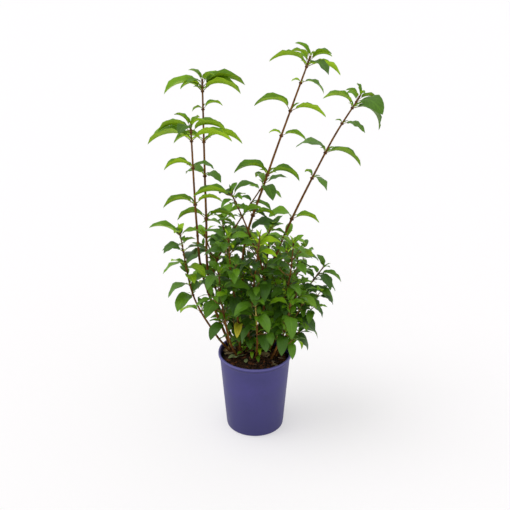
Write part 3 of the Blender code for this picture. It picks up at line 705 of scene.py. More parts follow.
class Coat(Nodes):
    """A material under construction: its surface shader, and the tree that feeds it."""

    MASK_SPAN = (0.3, 0.7)

    def __init__(self, name: str, colour: Colour, roughness: float, specular: float) -> None:
        """Makes the material with plain values, before its pattern.

        Args:
            name: Name of the material.
            colour: Plain colour that stands for it in the viewport.
            roughness: Plain roughness.
            specular: Plain specular level.
        """
        self.material = bpy.data.materials.new(name)
        self.material.use_nodes = True
        self.material.diffuse_color = (*colour, 1.0)
        super().__init__(self.material.node_tree)
        self.surface = self.tree.nodes["Principled BSDF"]
        self.surface.inputs["Base Color"].default_value = (*colour, 1.0)
        self.surface.inputs["Roughness"].default_value = roughness
        self.surface.inputs["Specular IOR Level"].default_value = specular
        self.place = self.new("TexCoord").outputs["Object"]

    def mottle(self, effects: Effects, scale: float, fine: float,
               stretch: float = 1.0) -> Socket:
        """The mask of the mottle group over the piece.

        Args:
            effects: The shared node groups.
            scale: Scale of its broad noise.
            fine: Share of its fine noise.
            stretch: Share of that scale which it keeps along Z.

        Returns:
            The mask.
        """
        place = self.place
        if stretch != 1.0:
            scales = (1.0, 1.0, stretch)
            place = self.new("Mapping", {"Vector": place, "Scale": scales}).outputs[0]
        group = self.new("Group", node_tree=effects.mottle)
        for label, value in (("Vector", place), ("Scale", scale), ("Fine", fine)):
            self.feed(group.inputs[label], value)
        return group.outputs["Mask"]

    def emboss(self, height: Socket, strength: float, distance: float,
               invert: bool = False) -> None:
        """Feeds a height to the surface's normal."""
        bump = self.new("Bump", {"Strength": strength, "Distance": distance, "Height": height},
                        invert=invert)
        self.feed(self.surface.inputs["Normal"], bump.outputs[0])

    def finish(self, colour: Socket, mask: Socket, smooth: float,
               rough: float) -> bpy.types.Material:
        """Feeds the colour, and a roughness that follows the mask.

        Args:
            colour: The pattern's colour.
            mask: Where the surface is rough.
            smooth: Roughness where the mask is low.
            rough: Roughness where the mask is high.

        Returns:
            The finished material.
        """
        self.feed(self.surface.inputs["Base Color"], colour)
        self.feed(self.surface.inputs["Roughness"], self.span(mask, *self.MASK_SPAN, smooth, rough))
        return self.material


def varied(colour: Colour, factor: float, warmth: float = 0.0) -> Colour:
    """A colour made lighter or darker, and warmer or cooler.

    Args:
        colour: The colour.
        factor: How many times as light.
        warmth: Share of red gained and of blue lost.

    Returns:
        The new colour.
    """
    red, green, blue = colour
    return (min(1.0, red * factor * (1 + warmth)), min(1.0, green * factor),
            min(1.0, blue * factor * (1 - warmth)))


@dataclass(frozen=True)
class LeafFinish:
    """A leaf's skin: its tone, paler veins, and blotches that differ from leaf to leaf."""

    name: str
    colour: Colour
    vein: float = 0.30
    relief: float = 0.35
    roughness: float = 0.46

    def material(self, effects: Effects) -> bpy.types.Material:
        """Colour: tone by blotch and by leaf, lighter on the veins. Relief: veins pressed in.

        Args:
            effects: The shared node groups.

        Returns:
            The finish.
        """
        coat = Coat(self.name, self.colour, self.roughness, specular=0.34)
        mottle = coat.mottle(effects, scale=38.0, fine=0.3)
        own_map = coat.new("UVMap", uv_map="follow")
        group = coat.new("Group", node_tree=effects.veins)
        coat.feed(group.inputs["Vector"], own_map.outputs[0])
        veins = group.outputs["Mask"]
        shade = coat.new("Attribute", attribute_name="shade").outputs["Fac"]
        share = coat.span(coat.math("MULTIPLY_ADD", shade, 0.55, mottle), start=0.42, end=1.12)
        base = coat.blend(share, varied(self.colour, factor=0.68, warmth=-0.06),
                          varied(self.colour, factor=1.44, warmth=0.06))
        base = coat.blend(coat.math("MULTIPLY", veins, self.vein), base,
                          varied(self.colour, factor=2.1, warmth=0.05))
        coat.emboss(veins, self.relief, distance=0.0006, invert=True)
        return coat.finish(base, mottle, self.roughness - 0.07, self.roughness + 0.08)


@dataclass(frozen=True)
class WoodFinish:
    """Bark or young wood: two browns in streaks along Z, small pale pores and fine relief."""

    name: str
    dark: Colour
    light: Colour

    def material(self, effects: Effects) -> bpy.types.Material:
        """Colour: streaked mottle between two browns, lighter at pores. Relief: the streaks.

        Args:
            effects: The shared node groups.

        Returns:
            The finish.
        """
        coat = Coat(self.name, self.dark, roughness=0.72, specular=0.08)
        streaks = coat.mottle(effects, scale=170.0, fine=0.4, stretch=0.16)
        base = coat.blend(coat.span(streaks, start=0.36, end=0.64), self.dark, self.light)
        pores = coat.new("TexVoronoi", {"Vector": coat.place, "Scale": 420.0})
        dot = coat.span(pores.outputs["Distance"], start=0.16, end=0.08)
        base = coat.blend(coat.math("MULTIPLY", dot, 0.4), base, varied(self.light, factor=2.0))
        coat.emboss(streaks, strength=0.5, distance=0.0005)
        return coat.finish(base, streaks, smooth=0.62, rough=0.86)


@dataclass(frozen=True)
class EarthFinish:
    """Potting bark and peat: dark crumbs, some redder, with a coarse relief."""

    name: str
    dark: Colour
    light: Colour
    scale: float = 90.0
    relief: float = 0.9

    def material(self, effects: Effects) -> bpy.types.Material:
        """Colour: crumbs picked by a cell pattern, with painted shade in the gaps. Relief: the
        crumbs.

        Args:
            effects: The shared node groups.

        Returns:
            The finish.
        """
        coat = Coat(self.name, self.dark, roughness=0.9, specular=0.25)
        mottle = coat.mottle(effects, self.scale, fine=0.45)
        cells = coat.new("TexVoronoi", {"Vector": coat.place, "Scale": 3.2 * self.scale})
        crumbs = cells.outputs["Distance"]
        base = coat.blend(coat.span(mottle, start=0.40, end=0.66), self.dark, self.light)
        # Painted shade: the gaps between crumbs darkened.
        gap = coat.span(crumbs, start=0.35, end=0.75)
        base = coat.blend(gap, base, varied(self.dark, factor=0.35))
        coat.emboss(coat.math("SUBTRACT", mottle, crumbs), self.relief, distance=0.0012)
        return coat.finish(base, mottle, smooth=0.80, rough=0.98)


@dataclass(frozen=True)
class PlasticFinish:
    """Matte moulded plastic of the pot: painted shade towards its foot and under its rim, a painted
    highlight on its crest.
    """

    name: str = "pot_violet_plastic"
    colour: Colour = (0.045, 0.039, 0.188)
    # Colour of the painted highlight on the rim's crest.
    crest: Colour = (0.140, 0.128, 0.385)
    # Height below which painted shade deepens towards the foot.
    painted_shade_height: float = 0.16
    painted_highlight_heights: Span = (0.2115, 0.2125)
    # Heights of the painted shadow line under the rim.
    rim_shadow_heights: Span = (0.2035, 0.208)

    def material(self, effects: Effects) -> bpy.types.Material:
        """Colour: cloudy violet, painted shade to the foot and under the rim, a painted highlight
        on the crest.

        The relief is a fine orange peel.

        Args:
            effects: The shared node groups.

        Returns:
            The finish.
        """
        coat = Coat(self.name, self.colour, roughness=0.5, specular=0.4)
        cloud = coat.mottle(effects, scale=14.0, fine=0.25)
        base = coat.blend(coat.span(cloud, start=0.34, end=0.66),
                          varied(self.colour, factor=0.84, warmth=-0.03),
                          varied(self.colour, factor=1.14, warmth=0.03))
        height = coat.new("SeparateXYZ", {0: coat.place}).outputs[2]
        # Painted shade: darker towards the foot.
        low = coat.span(height, self.painted_shade_height, 0.0, high=0.75, ease="SMOOTHSTEP")
        base = coat.blend(low, base, varied(self.colour, factor=0.66, warmth=-0.05))
        # Painted highlight: the crest of the rim paler.
        base = coat.blend(coat.span(height, *self.painted_highlight_heights, high=0.75), base, self.crest)
        # Painted shadow: a dark line just under the rim.
        above = coat.math("GREATER_THAN", height, self.rim_shadow_heights[0])
        below = coat.math("LESS_THAN", height, self.rim_shadow_heights[1])
        painted_rim_shadow = coat.math("MULTIPLY", coat.math("MULTIPLY", above, below), 0.6)
        base = coat.blend(painted_rim_shadow, base, varied(self.colour, factor=0.45))
        peel = coat.new("TexNoise", {"Vector": coat.place, "Scale": 900.0, "Detail": 2.0})
        coat.emboss(peel.outputs["Fac"], strength=0.12, distance=0.0003)
        return coat.finish(base, cloud, smooth=0.42, rough=0.60)


# The colour of each tone on a leaf's upper side and on its underside.
LEAF_TONES: dict[Tone, tuple[Colour, Colour]] = {
    Tone.LIME: ((0.260, 0.450, 0.006), (0.300, 0.480, 0.006)),
    Tone.BRIGHT: ((0.160, 0.330, 0.006), (0.250, 0.425, 0.005)),
    Tone.FRESH: ((0.114, 0.265, 0.005), (0.218, 0.390, 0.003)),
    Tone.MATURE: ((0.075, 0.186, 0.008), (0.130, 0.250, 0.010)),
    Tone.DEEP: ((0.036, 0.102, 0.006), (0.080, 0.150, 0.016)),
    Tone.YELLOWED: ((0.420, 0.400, 0.030), (0.400, 0.380, 0.050)),
}
FALLEN_TONES = (
    LeafFinish("fallen_leaf_tan", (0.330, 0.240, 0.120), 0.2, 0.5, 0.8),
    LeafFinish("fallen_leaf_pale", (0.200, 0.260, 0.110), 0.3, 0.5, 0.7),
)
WOODS = (
    WoodFinish("cane_bark", (0.082, 0.030, 0.006), (0.242, 0.104, 0.022)),
    WoodFinish("cane_tan", (0.330, 0.235, 0.050), (0.540, 0.440, 0.120)),
    WoodFinish("young_wood", (0.120, 0.052, 0.018), (0.240, 0.128, 0.042)),
    WoodFinish("petiole_skin", (0.200, 0.130, 0.040), (0.330, 0.260, 0.090)),
    WoodFinish("node_bark", (0.062, 0.024, 0.009), (0.160, 0.066, 0.022)),
)
PEAT = EarthFinish("potting_peat", (0.020, 0.011, 0.007), (0.080, 0.038, 0.022))
CHIPS = (
    EarthFinish("bark_chip_dark", (0.040, 0.018, 0.009), (0.125, 0.054, 0.024), 140.0, 0.6),
    EarthFinish("bark_chip_red", (0.130, 0.042, 0.016), (0.290, 0.112, 0.042), 140.0, 0.6),
    EarthFinish("bark_chip_pale", (0.300, 0.190, 0.120), (0.520, 0.400, 0.290), 140.0, 0.5),
)


class Finishes:
    """Every material of the plant and its pot, built once and listed by slot."""

    def __init__(self) -> None:
        """Builds the materials from their finishes."""
        effects = Effects()
        skins = []
        for tone, (upper, under) in LEAF_TONES.items():
            skins.append(LeafFinish(f"leaf_{tone.name.lower()}", upper))
            skins.append(LeafFinish(f"leaf_back_{tone.name.lower()}", under, 0.35, -0.35, 0.58))
        self.leaf = [each.material(effects) for each in skins]
        self.wood = [each.material(effects) for each in WOODS]
        self.soil = [PEAT.material(effects)]
        self.chips = [each.material(effects) for each in CHIPS]
        self.fallen = [each.material(effects) for each in FALLEN_TONES]
        self.plastic = [PlasticFinish().material(effects)]


class Wood(Enum):
    """Slots of a woody piece."""

    BARK = 0
    TAN = 1
    YOUNG = 2
    PETIOLE = 3
    NODE = 4


@dataclass
class LeafRule:
    """The leaf of the part's source as whole arrays, with a wavy, creased and twisted blade.

    Rise and droop are the tilts of its base and its tip in degrees, on an upright stem. Each
    has a part for how far the stem leans the leaf's way, one for youth near a tip, and one
    that is drawn. Lengths along the blade and distances across it are shares.
    """

    petiole_most: float = 0.014
    petiole_share: float = 0.2
    petiole_radius: float = 0.0008
    rise: float = 33.0
    rise_lean: float = 42.0
    rise_spread: float = 7.0
    rise_youth: float = 38.0
    droop_lean: float = 26.0
    droop_spread: float = 8.0
    droop_youth: float = 45.0
    roll_spread: float = 16.0
    fall_power: float = 1.25
    leaving: Span = (0.72, 0.70)
    free_share: float = 0.35
    twist: float = 24.0
    curl: float = 0.16
    wave: float = 0.13
    waves: float = 2.3
    waves_spread: float = 0.6
    phase_spread: float = 3.0
    side_phase: float = 1.9
    thickness: float = 0.0005
    widest: float = 0.43
    base_power: float = 0.60
    tip_power: float = 0.80
    drawn_out: float = 0.40
    drawn_power: int = 5
    path_steps: int = 24
    tip_age: float = 0.022

    SHARES = np.array((0.015, 0.055, 0.13, 0.22, 0.33, 0.45, 0.58, 0.71, 0.83, 0.93))
    ACROSS = np.array((1.0, 0.5, 0.0, -0.5, -1.0, -0.5, 0.0, 0.5))
    UPPER = np.array((0, 1, 1, 1, 0, -1, -1, -1))
    EDGES = (0, 4)


class Leaves:
    """A batch of leaves, whose shapes are worked out together."""

    TURNS = (0, 16, -16, 32, -32)

    def __init__(self, buds: list[Bud], rule: LeafRule) -> None:
        """Works out each leaf's root, heading, slopes and sizes.

        Args:
            buds: The leaves to be.
            rule: The shape that they share.
        """
        self.rule = rule
        self.buds = buds
        self.root = np.array([bud.route.at(bud.place) for bud in buds])
        self.stem_way = np.array([bud.route.along(bud.place) for bud in buds])
        self.heading = bearing_ways(np.array([bud.bearing for bud in buds], float))
        self.key = np.array([bud.key for bud in buds], float).T
        self.length, self.slender, self.extra, self.lift, left = np.array(
            [(bud.length, bud.slender, bud.extra, bud.lift, bud.route.length - bud.place)
             for bud in buds], float).T.copy()
        self.fold, self.fold_spread, self.width, self.fall = np.array(
            [(bud.habit.fold, bud.habit.fold_spread, bud.habit.width, bud.habit.droop)
             for bud in buds], float).T.copy()
        self.petiole = np.minimum(rule.petiole_most, rule.petiole_share * self.length)
        self.youth = np.maximum(0.0, 1.0 - left / rule.tip_age)
        self.slopes()

    def drawn(self, which: Draw) -> Array:
        """One drawn number from -1 to 1 for each leaf."""
        return wobble(*self.key, which)

    def slopes(self) -> None:
        """Rise at the base and droop at the tip: both fall where the stem leans that way."""
        rule = self.rule
        lean = (self.heading * self.stem_way).sum(-1)
        self.rise = (rule.rise - rule.rise_lean * lean + rule.rise_spread * self.drawn(Draw.RISE)
                     + rule.rise_youth * self.youth + self.lift)
        self.droop = (self.fall - rule.droop_lean * lean
                      + rule.droop_spread * self.drawn(Draw.DROOP)
                      + rule.droop_youth * self.youth + self.extra + self.lift)
        self.roll = np.radians(rule.roll_spread * self.drawn(Draw.ROLL))

    def ways(self, shares: Array) -> Array:
        """Midrib directions at shares of the blade, below 0 along the petiole.

        The direction eases from slanting off the stem to a free one, whose tilt falls from
        the rise to the droop with a power of the rest of the blade.

        Args:
            shares: Shares by leaf.

        Returns:
            Directions by leaf and share.
        """
        rule = self.rule
        rest = 1.0 - np.clip(shares, 0.0, 1.0)
        fall = (self.rise - self.droop)[:, None] * rest ** rule.fall_power
        tilt = np.radians(self.droop[:, None] + fall)[..., None]
        heading = self.heading[:, None, :]
        free = heading * np.cos(tilt) + UP * np.sin(tilt)
        along = (self.heading * self.stem_way).sum(-1, keepdims=True)
        out = unit(self.heading - self.stem_way * along)
        upward, outward = rule.leaving
        start = unit(upward * self.stem_way + outward * out)[:, None, :]
        length, petiole = self.length[:, None], self.petiole[:, None]
        eased = rule.free_share * (petiole + length)
        mix = np.clip((shares * length + petiole) / eased, 0.0, 1.0)
        mix = (mix * mix * (3.0 - 2.0 * mix))[..., None]
        return unit(start * (1.0 - mix) + free * mix)

    def midrib(self, shares: Array) -> Array:
        """Midrib points: the directions summed up from the root in equal steps.

        Args:
            shares: Shares by leaf.

        Returns:
            Points by leaf and share.
        """
        steps = self.rule.path_steps
        first = (-self.petiole / self.length)[:, None]
        step = (1.0 - first) / steps
        middles = first + (np.arange(steps) + 0.5) * step
        moves = self.ways(middles) * (step * self.length[:, None])[..., None]
        points = np.concatenate((self.root[:, None], self.root[:, None] + moves.cumsum(1)), 1)
        place = np.clip((shares - first) / step, 0.0, steps - 1e-6)
        index = place.astype(int)
        part = (place - index)[..., None]
        rows = np.arange(len(points))[:, None]
        return points[rows, index] * (1.0 - part) + points[rows, index + 1] * part

    def level_sides(self) -> Array:
        """The level direction to the left of each leaf's heading."""
        return np.stack((-self.heading[:, 1], self.heading[:, 0], 0 * self.length), -1)

    def frames(self, shares: Array) -> Arrays:
        """Directions across the blade and out of its face, turned by roll and twist.

        Args:
            shares: Shares by leaf.

        Returns:
            Sideways and facing directions by leaf and share.
        """
        level = np.broadcast_to(self.level_sides()[:, None, :], (*shares.shape, 3))
        normal = unit(np.cross(self.ways(shares), level))
        twist = np.radians(self.rule.twist) * self.drawn(Draw.TWIST)
        turn = self.roll[:, None] + twist[:, None] * shares
        cosine, sine = np.cos(turn)[..., None], np.sin(turn)[..., None]
        return level * cosine + normal * sine, normal * cosine - level * sine

    def half_width(self, shares: Array) -> Array:
        """Half the blade's width: a power of each end's distance, drawn out at the tip.

        Args:
            shares: Shares by leaf.

        Returns:
            Half-widths by leaf and share.
        """
        rule = self.rule
        base = (shares / rule.widest) ** rule.base_power
        tip = ((1.0 - shares) / (1.0 - rule.widest)) ** rule.tip_power
        tip = tip * (1.0 - rule.drawn_out * shares ** rule.drawn_power)
        width = self.width * about(0.10, *self.key, Draw.WIDTH) * self.slender
        return 0.5 * (width * self.length)[:, None] * base * tip

    def blades(self) -> Arrays:
        """Rings round each blade and its two poles.

        A corner lies at its share of the half-width across the blade. It is lifted by the
        fold, lowered by the curl towards the edge, and moved by a wave that grows with the
        square of its distance from the midrib. Upper and lower corners are apart by the
        thickness at the midrib, and meet at the edges.

        Returns:
            Ring corners by leaf, share and place, and poles by leaf.
        """
        rule = self.rule
        shares = np.broadcast_to(rule.SHARES, (len(self.length), len(rule.SHARES)))
        middle = self.midrib(shares)[:, :, None]
        side, face = (each[:, :, None] for each in self.frames(shares))
        half = self.half_width(shares)[:, :, None]
        across = rule.ACROSS
        fold = np.radians(self.fold + self.fold_spread * self.drawn(Draw.FOLD))[:, None, None]
        phase = (rule.phase_spread * self.drawn(Draw.PHASE))[:, None, None]
        waves = rule.waves + rule.waves_spread * self.drawn(Draw.WAVES)[:, None, None]
        ripple = np.sin(math.tau * waves * shares[..., None] + phase
                        + rule.side_phase * np.sign(across))
        lift = half * (np.sin(fold) * np.abs(across) - rule.curl * across ** 2
                       + rule.wave * ripple * across ** 2)
        lift = lift + 0.5 * rule.thickness * rule.UPPER * (1.0 - across ** 2)
        spread = half * np.cos(fold) * across
        rings = middle + side * spread[..., None] + face * lift[..., None]
        ends = np.stack((0.0 * self.length, 1.0 + 0.0 * self.length), axis=1)
        return rings, self.midrib(ends)

    def blade_pile(self, slots: Array) -> Pile:
        """The blades, creased at their edges.

        Args:
            slots: Material slots by leaf and place.

        Returns:
            The blades as one pile.
        """
        rings, ends = self.blades()
        pile = Pile()
        pile.add(rings, ends, slots, 0.5 + 0.5 * self.drawn(Draw.SHADE),
                 0.5 + 0.5 * self.rule.ACROSS, self.rule.EDGES)
        return pile

    def petioles(self) -> Array:
        """Rings of each petiole, from inside its stem to just under the blade.

        Its radius tapers towards the blade, and is less on a leaf under 6 cm.

        Returns:
            Ring corners by leaf, step and place.
        """
        rule = self.rule
        stops = np.linspace(0.0, 1.0, 5)
        foot = (-self.petiole / self.length)[:, None]
        shares = foot * (1.0 - stops) + 0.10 * stops
        size = np.clip(self.length / 0.06, 0.45, 1.15)[:, None]
        radii = rule.petiole_radius * size * (1.35 - 0.75 * stops)
        return tube_rings(self.midrib(shares), radii, self.level_sides(), around=6)

    def keep(self, chosen: Array) -> "Leaves":
        """The chosen leaves as a batch of their own, each with the heading it has now.

        Args:
            chosen: True for each leaf to keep.

        Returns:
            The new batch.
        """
        kept = Leaves([self.buds[index] for index in np.flatnonzero(chosen)], self.rule)
        kept.heading = self.heading[chosen]
        kept.slopes()
        return kept

    def settle(self, limbs: Array, reach: Array, pot: "PotShell") -> "Leaves":
        """Turns leaves round their stems until they are clear of other limbs and the rim.

        Args:
            limbs: Points along the other shoots' stems.
            reach: How near to each point a leaf may come.
            pot: The pot, whose wall the leaves keep off.

        Returns:
            The leaves that end up clear.
        """
        first = self.heading.copy()
        clear = np.zeros(len(self.length), bool)
        for turn in self.TURNS:
            angle = np.radians(turn)
            swung = first @ np.array(((math.cos(angle), math.sin(angle), 0),
                                      (-math.sin(angle), math.cos(angle), 0), (0, 0, 1)))
            self.heading = np.where(clear[:, None], self.heading, swung)
            upper = self.blades()[0][:, :, self.rule.UPPER >= 0].reshape(len(clear), -1, 3)
            near = np.array([(np.linalg.norm(points[:, None] - limbs, axis=2) < reach).any()
                             for points in upper])
            clear |= ~(near | pot.touched(upper))
        self.heading = np.where(clear[:, None], self.heading, first)
        return self.keep(clear)


@dataclass
class PotShell:
    """The nursery pot, a thin tapering shell, whose wall and rim are a little from true."""

    finishes: Finishes
    height: float
    rim_radius: float
    base_radius: float = 0.0745
    wall: float = 0.0018
    floor: float = 0.0025
    corner: float = 0.004
    rim_height: float = 0.008
    overhang: float = 0.0032
    lip: float = 0.0012
    plate: Span = (0.030, 0.060)
    around: int = 144
    drains: int = 6
    drain_radius: float = 0.005
    drain_circle: float = 0.052
    drain_around: int = 16
    dent: float = 0.0005
    sag: float = 0.00045
    leaf_above: float = 0.014
    leaf_beside: float = 0.004

    def wall_radius(self, height: Array | float) -> Array | float:
        """Outer radius of the tapering wall at a height."""
        top = self.rim_radius - self.overhang
        return self.base_radius + (top - self.base_radius) * height / self.height

    def touched(self, points: Array) -> Array:
        """True for each batch of points with one at the rim or in the wall.

        Args:
            points: Points by batch.

        Returns:
            One truth value for each batch.
        """
        radius = np.hypot(points[..., 0], points[..., 1])
        low = points[..., 2] < self.height + self.leaf_above
        wide = radius > self.wall_radius(self.height) - self.leaf_beside
        return (low & wide).any(axis=-1)

    def profile(self) -> Array:
        """Radius and height down the profile: floor, outer wall, rolled rim, inner wall.

        Returns:
            Pairs from the middle of the underside round to the middle of the floor.
        """
        rim_low = self.height - self.rim_height
        roll = 0.5 * (self.rim_radius - self.wall_radius(rim_low) + self.wall)
        centre = np.array((self.rim_radius - roll, self.height - roll))
        foot = np.array((self.base_radius - self.corner, self.corner))
        lower = np.radians(np.linspace(-90, 0, 7))[:, None]
        heel = foot + self.corner * np.hstack((np.cos(lower), np.sin(lower)))
        rise = np.linspace(self.corner, rim_low, 22)[1:]
        outer = np.stack((self.wall_radius(rise), rise), axis=1)
        lip = np.array(((self.rim_radius - self.lip, rim_low),
                        (self.rim_radius, rim_low + self.lip)))
        over = np.radians(np.linspace(0, 180, 13))[:, None]
        crest = centre + roll * np.hstack((np.cos(over), np.sin(over)))
        sink = np.linspace(rim_low, self.floor + self.corner, 14)
        inner = np.stack((self.wall_radius(sink) - self.wall, sink), axis=1)
        small, large = self.plate
        under = np.array(((small, 0.0), (large, 0.0)))
        inside = np.array(((self.base_radius - self.wall - self.corner, self.floor),
                           (large, self.floor), (small, self.floor)))
        return np.vstack((under, heel, outer, lip, crest, inner, inside))

    def build(self) -> None:
        """The shell: the profile turned round Z, its wall and rim a little uneven."""
        profile = self.profile()
        circle = ring_ways(self.around)
        radius, height = profile[:, :1], profile[:, 1:]
        high = np.clip((height - 0.02) / self.height, 0.0, 1.0)
        spots = circle[None] * 1.6 + height[..., None] * UP * 9.0
        dent = self.dent * noise(spots, 1.0, 5) * high
        places = circle[None] * (radius + dent)[..., None] + UP * height[..., None]
        sag = self.sag * noise(circle * 3.2, 1.0, 8) * (height > self.height - 0.012)
        places[..., 2] += sag * (radius > self.rim_radius - 0.004)
        pile = Pile()
        pile.add(places[None], np.array((((0.0, 0.0, 0.0), (0.0, 0.0, self.floor)),)))
        shell = pile.make("pot_shell", self.finishes.plastic)
        self.drill(shell)
        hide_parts("pot")

    def drill(self, shell: bpy.types.Object) -> None:
        """Cuts the drain holes, which stand in a ring on the underside.

        Args:
            shell: The shell to cut.
        """
        centre = self.drain_circle * ring_ways(self.drains)
        reach = 3.0 * self.floor
        ends = centre[:, None] + UP * np.array((-reach, reach))[:, None]
        side = np.tile((1.0, 0.0, 0.0), (self.drains, 1))
        radii = np.full((self.drains, 2), self.drain_radius)
        cutters = Pile()
        cutters.add(tube_rings(ends, radii, side, self.drain_around), ends)
        cutter = cutters.make("drain_cutter", [])
        cut = shell.modifiers.new("drains", "BOOLEAN")
        cut.operation = "DIFFERENCE"
        cut.object = cutter
        cut.solver = "EXACT"
        graph = bpy.context.evaluated_depsgraph_get()
        mesh = bpy.data.meshes.new_from_object(shell.evaluated_get(graph))
        shell.modifiers.clear()
        shell.data = mesh
        bpy.data.objects.remove(cutter)


@dataclass
class Peat:
    """The root ball: peat, heaped in the middle and banked to the left, down to the floor."""

    pot: PotShell
    top: float
    settled: float = 0.0022
    heap: float = 0.008
    bank: float = 0.009
    edge_drop: float = 0.004
    gap: float = 0.0005
    lumps: tuple[Span, ...] = ((0.0020, 0.016), (0.0011, 0.006), (0.0006, 0.0028))
    rows: int = 44
    side_rows: int = 6
    around: int = 120

    def heights(self, places: Array) -> Array:
        """Height of the surface: a heap and a bank, with lumps of three heights and sizes.

        Args:
            places: Points, of which only X and Y count.

        Returns:
            Their heights.
        """
        level = np.stack((places[..., 0], places[..., 1], 0 * places[..., 0]), -1)
        reach = self.pot.wall_radius(self.top)
        radius = np.hypot(places[..., 0], places[..., 1]) / reach
        left = np.clip(-places[..., 0] / reach, 0.0, 1.0)
        lumps = sum(height * noise(level, size, seed)
                    for seed, (height, size) in enumerate(self.lumps, start=11))
        rise = self.heap * (1.0 - radius ** 2) - self.edge_drop * radius ** 4
        rise = rise + self.bank * left ** 2
        return self.top - self.settled + rise + lumps

    def build(self) -> None:
        """The peat: polar rings over the top, then down the pot's inside to its floor."""
        circle = ring_ways(self.around)[:, :2]
        inside = self.pot.wall + self.gap
        edge = self.pot.wall_radius(self.top - self.edge_drop) - inside
        radii = edge * np.linspace(1.0 / self.rows, 1.0, self.rows)[::-1]
        flat = circle[None] * radii[:, None, None]
        upper = np.concatenate((flat, self.heights(flat)[..., None]), axis=-1)
        bottom = self.pot.floor + self.gap
        sides = np.linspace(bottom + self.pot.corner, self.top - 2 * self.edge_drop,
                            self.side_rows)
        radius = self.pot.wall_radius(sides) - inside
        sides = np.concatenate(([bottom], sides))
        radius = np.concatenate(([self.pot.base_radius - inside - self.pot.corner], radius))
        heights = np.broadcast_to(sides[:, None, None], (len(sides), self.around, 1))
        lower = np.concatenate((circle[None] * radius[:, None, None], heights), -1)
        peak = float(self.heights(np.zeros(3)))
        pile = Pile()
        pile.add(np.concatenate((lower, upper))[None],
                 np.array((((0.0, 0.0, bottom), (0.0, 0.0, peak)),)))
        piece = pile.make("potting_peat", self.pot.finishes.soil)
        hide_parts("soil")


@dataclass
class BarkChips:
    """Loose bark chips strewn over the peat, most of them dark, some red and a few pale.

    A chip is a flattened box with rounded, rough corners. Its least length, and how much
    longer it may be, come first, and its width and height are shares of that length.
    """

    peat: Peat
    count: int = 420
    margin: float = 0.009
    length: Span = (0.0030, 0.0062)
    width: Span = (0.4, 0.35)
    height: float = 0.28
    around: int = 8
    rough: float = 0.17
    pitch: float = 0.9
    mix: Span = (0.60, 0.95)

    def shape(self) -> Array:
        """Three rings of a superellipse: a power of the sines and cosines of two angles.

        Returns:
            Corners by ring and place.
        """
        polar = np.radians((-52.0, 0.0, 52.0))[:, None]
        circle = ring_ways(self.around)
        square = np.sign(circle) * np.abs(circle) ** 0.6
        upright = np.broadcast_to(1.1 * np.sin(polar), (3, self.around))
        return np.stack((np.cos(polar) * square[:, 0], np.cos(polar) * square[:, 1], upright), -1)

    def build(self) -> None:
        """The chips: each shape is scaled, roughened, turned and laid on the peat."""
        order = np.arange(self.count, dtype=float)
        out, way, long, broad, heading, slope, kind, shade = (
            0.5 + 0.5 * wobble(order, 3.0, salt) for salt in range(1, 9))
        pot = self.peat.pot
        reach = pot.wall_radius(self.peat.top) - pot.wall - self.margin
        radius, angle = reach * np.sqrt(out), math.tau * way
        centre = np.stack((radius * np.cos(angle), radius * np.sin(angle), 0 * radius), -1)
        length = self.length[0] + self.length[1] * long ** 1.6
        width = length * (self.width[0] + self.width[1] * broad)
        size = np.stack((length, width, length * self.height), -1)
        centre[:, 2] = self.peat.heights(centre) + 0.5 * size[:, 2]
        rough = 1.0 + self.rough * wobble(order[:, None, None], np.arange(3.0)[:, None],
                                          np.arange(float(self.around)), 4.0)
        local = self.shape()[None] * rough[..., None] * size[:, None, None]
        poles = np.stack((-UP * np.ones((self.count, 1)), UP * np.ones((self.count, 1))), 1)
        poles = poles * size[:, None]
        yaw, pitch = math.tau * heading, self.pitch * (slope - 0.5)
        ahead = np.stack((np.cos(yaw) * np.cos(pitch), np.sin(yaw) * np.cos(pitch),
                          np.sin(pitch)), -1)
        left = np.stack((-np.sin(yaw), np.cos(yaw), 0 * yaw), -1)
        turn = np.stack((ahead, left, np.cross(ahead, left)), axis=1)
        rings = np.einsum("nrki,nij->nrkj", local, turn) + centre[:, None, None]
        ends = np.einsum("nki,nij->nkj", poles, turn) + centre[:, None]
        slot = np.searchsorted(self.mix, kind, side="right")
        pile = Pile()
        pile.add(rings, ends, np.repeat(slot[:, None], self.around, 1), shade)
        piece = pile.make("bark_chips", pot.finishes.chips, smooth=False)


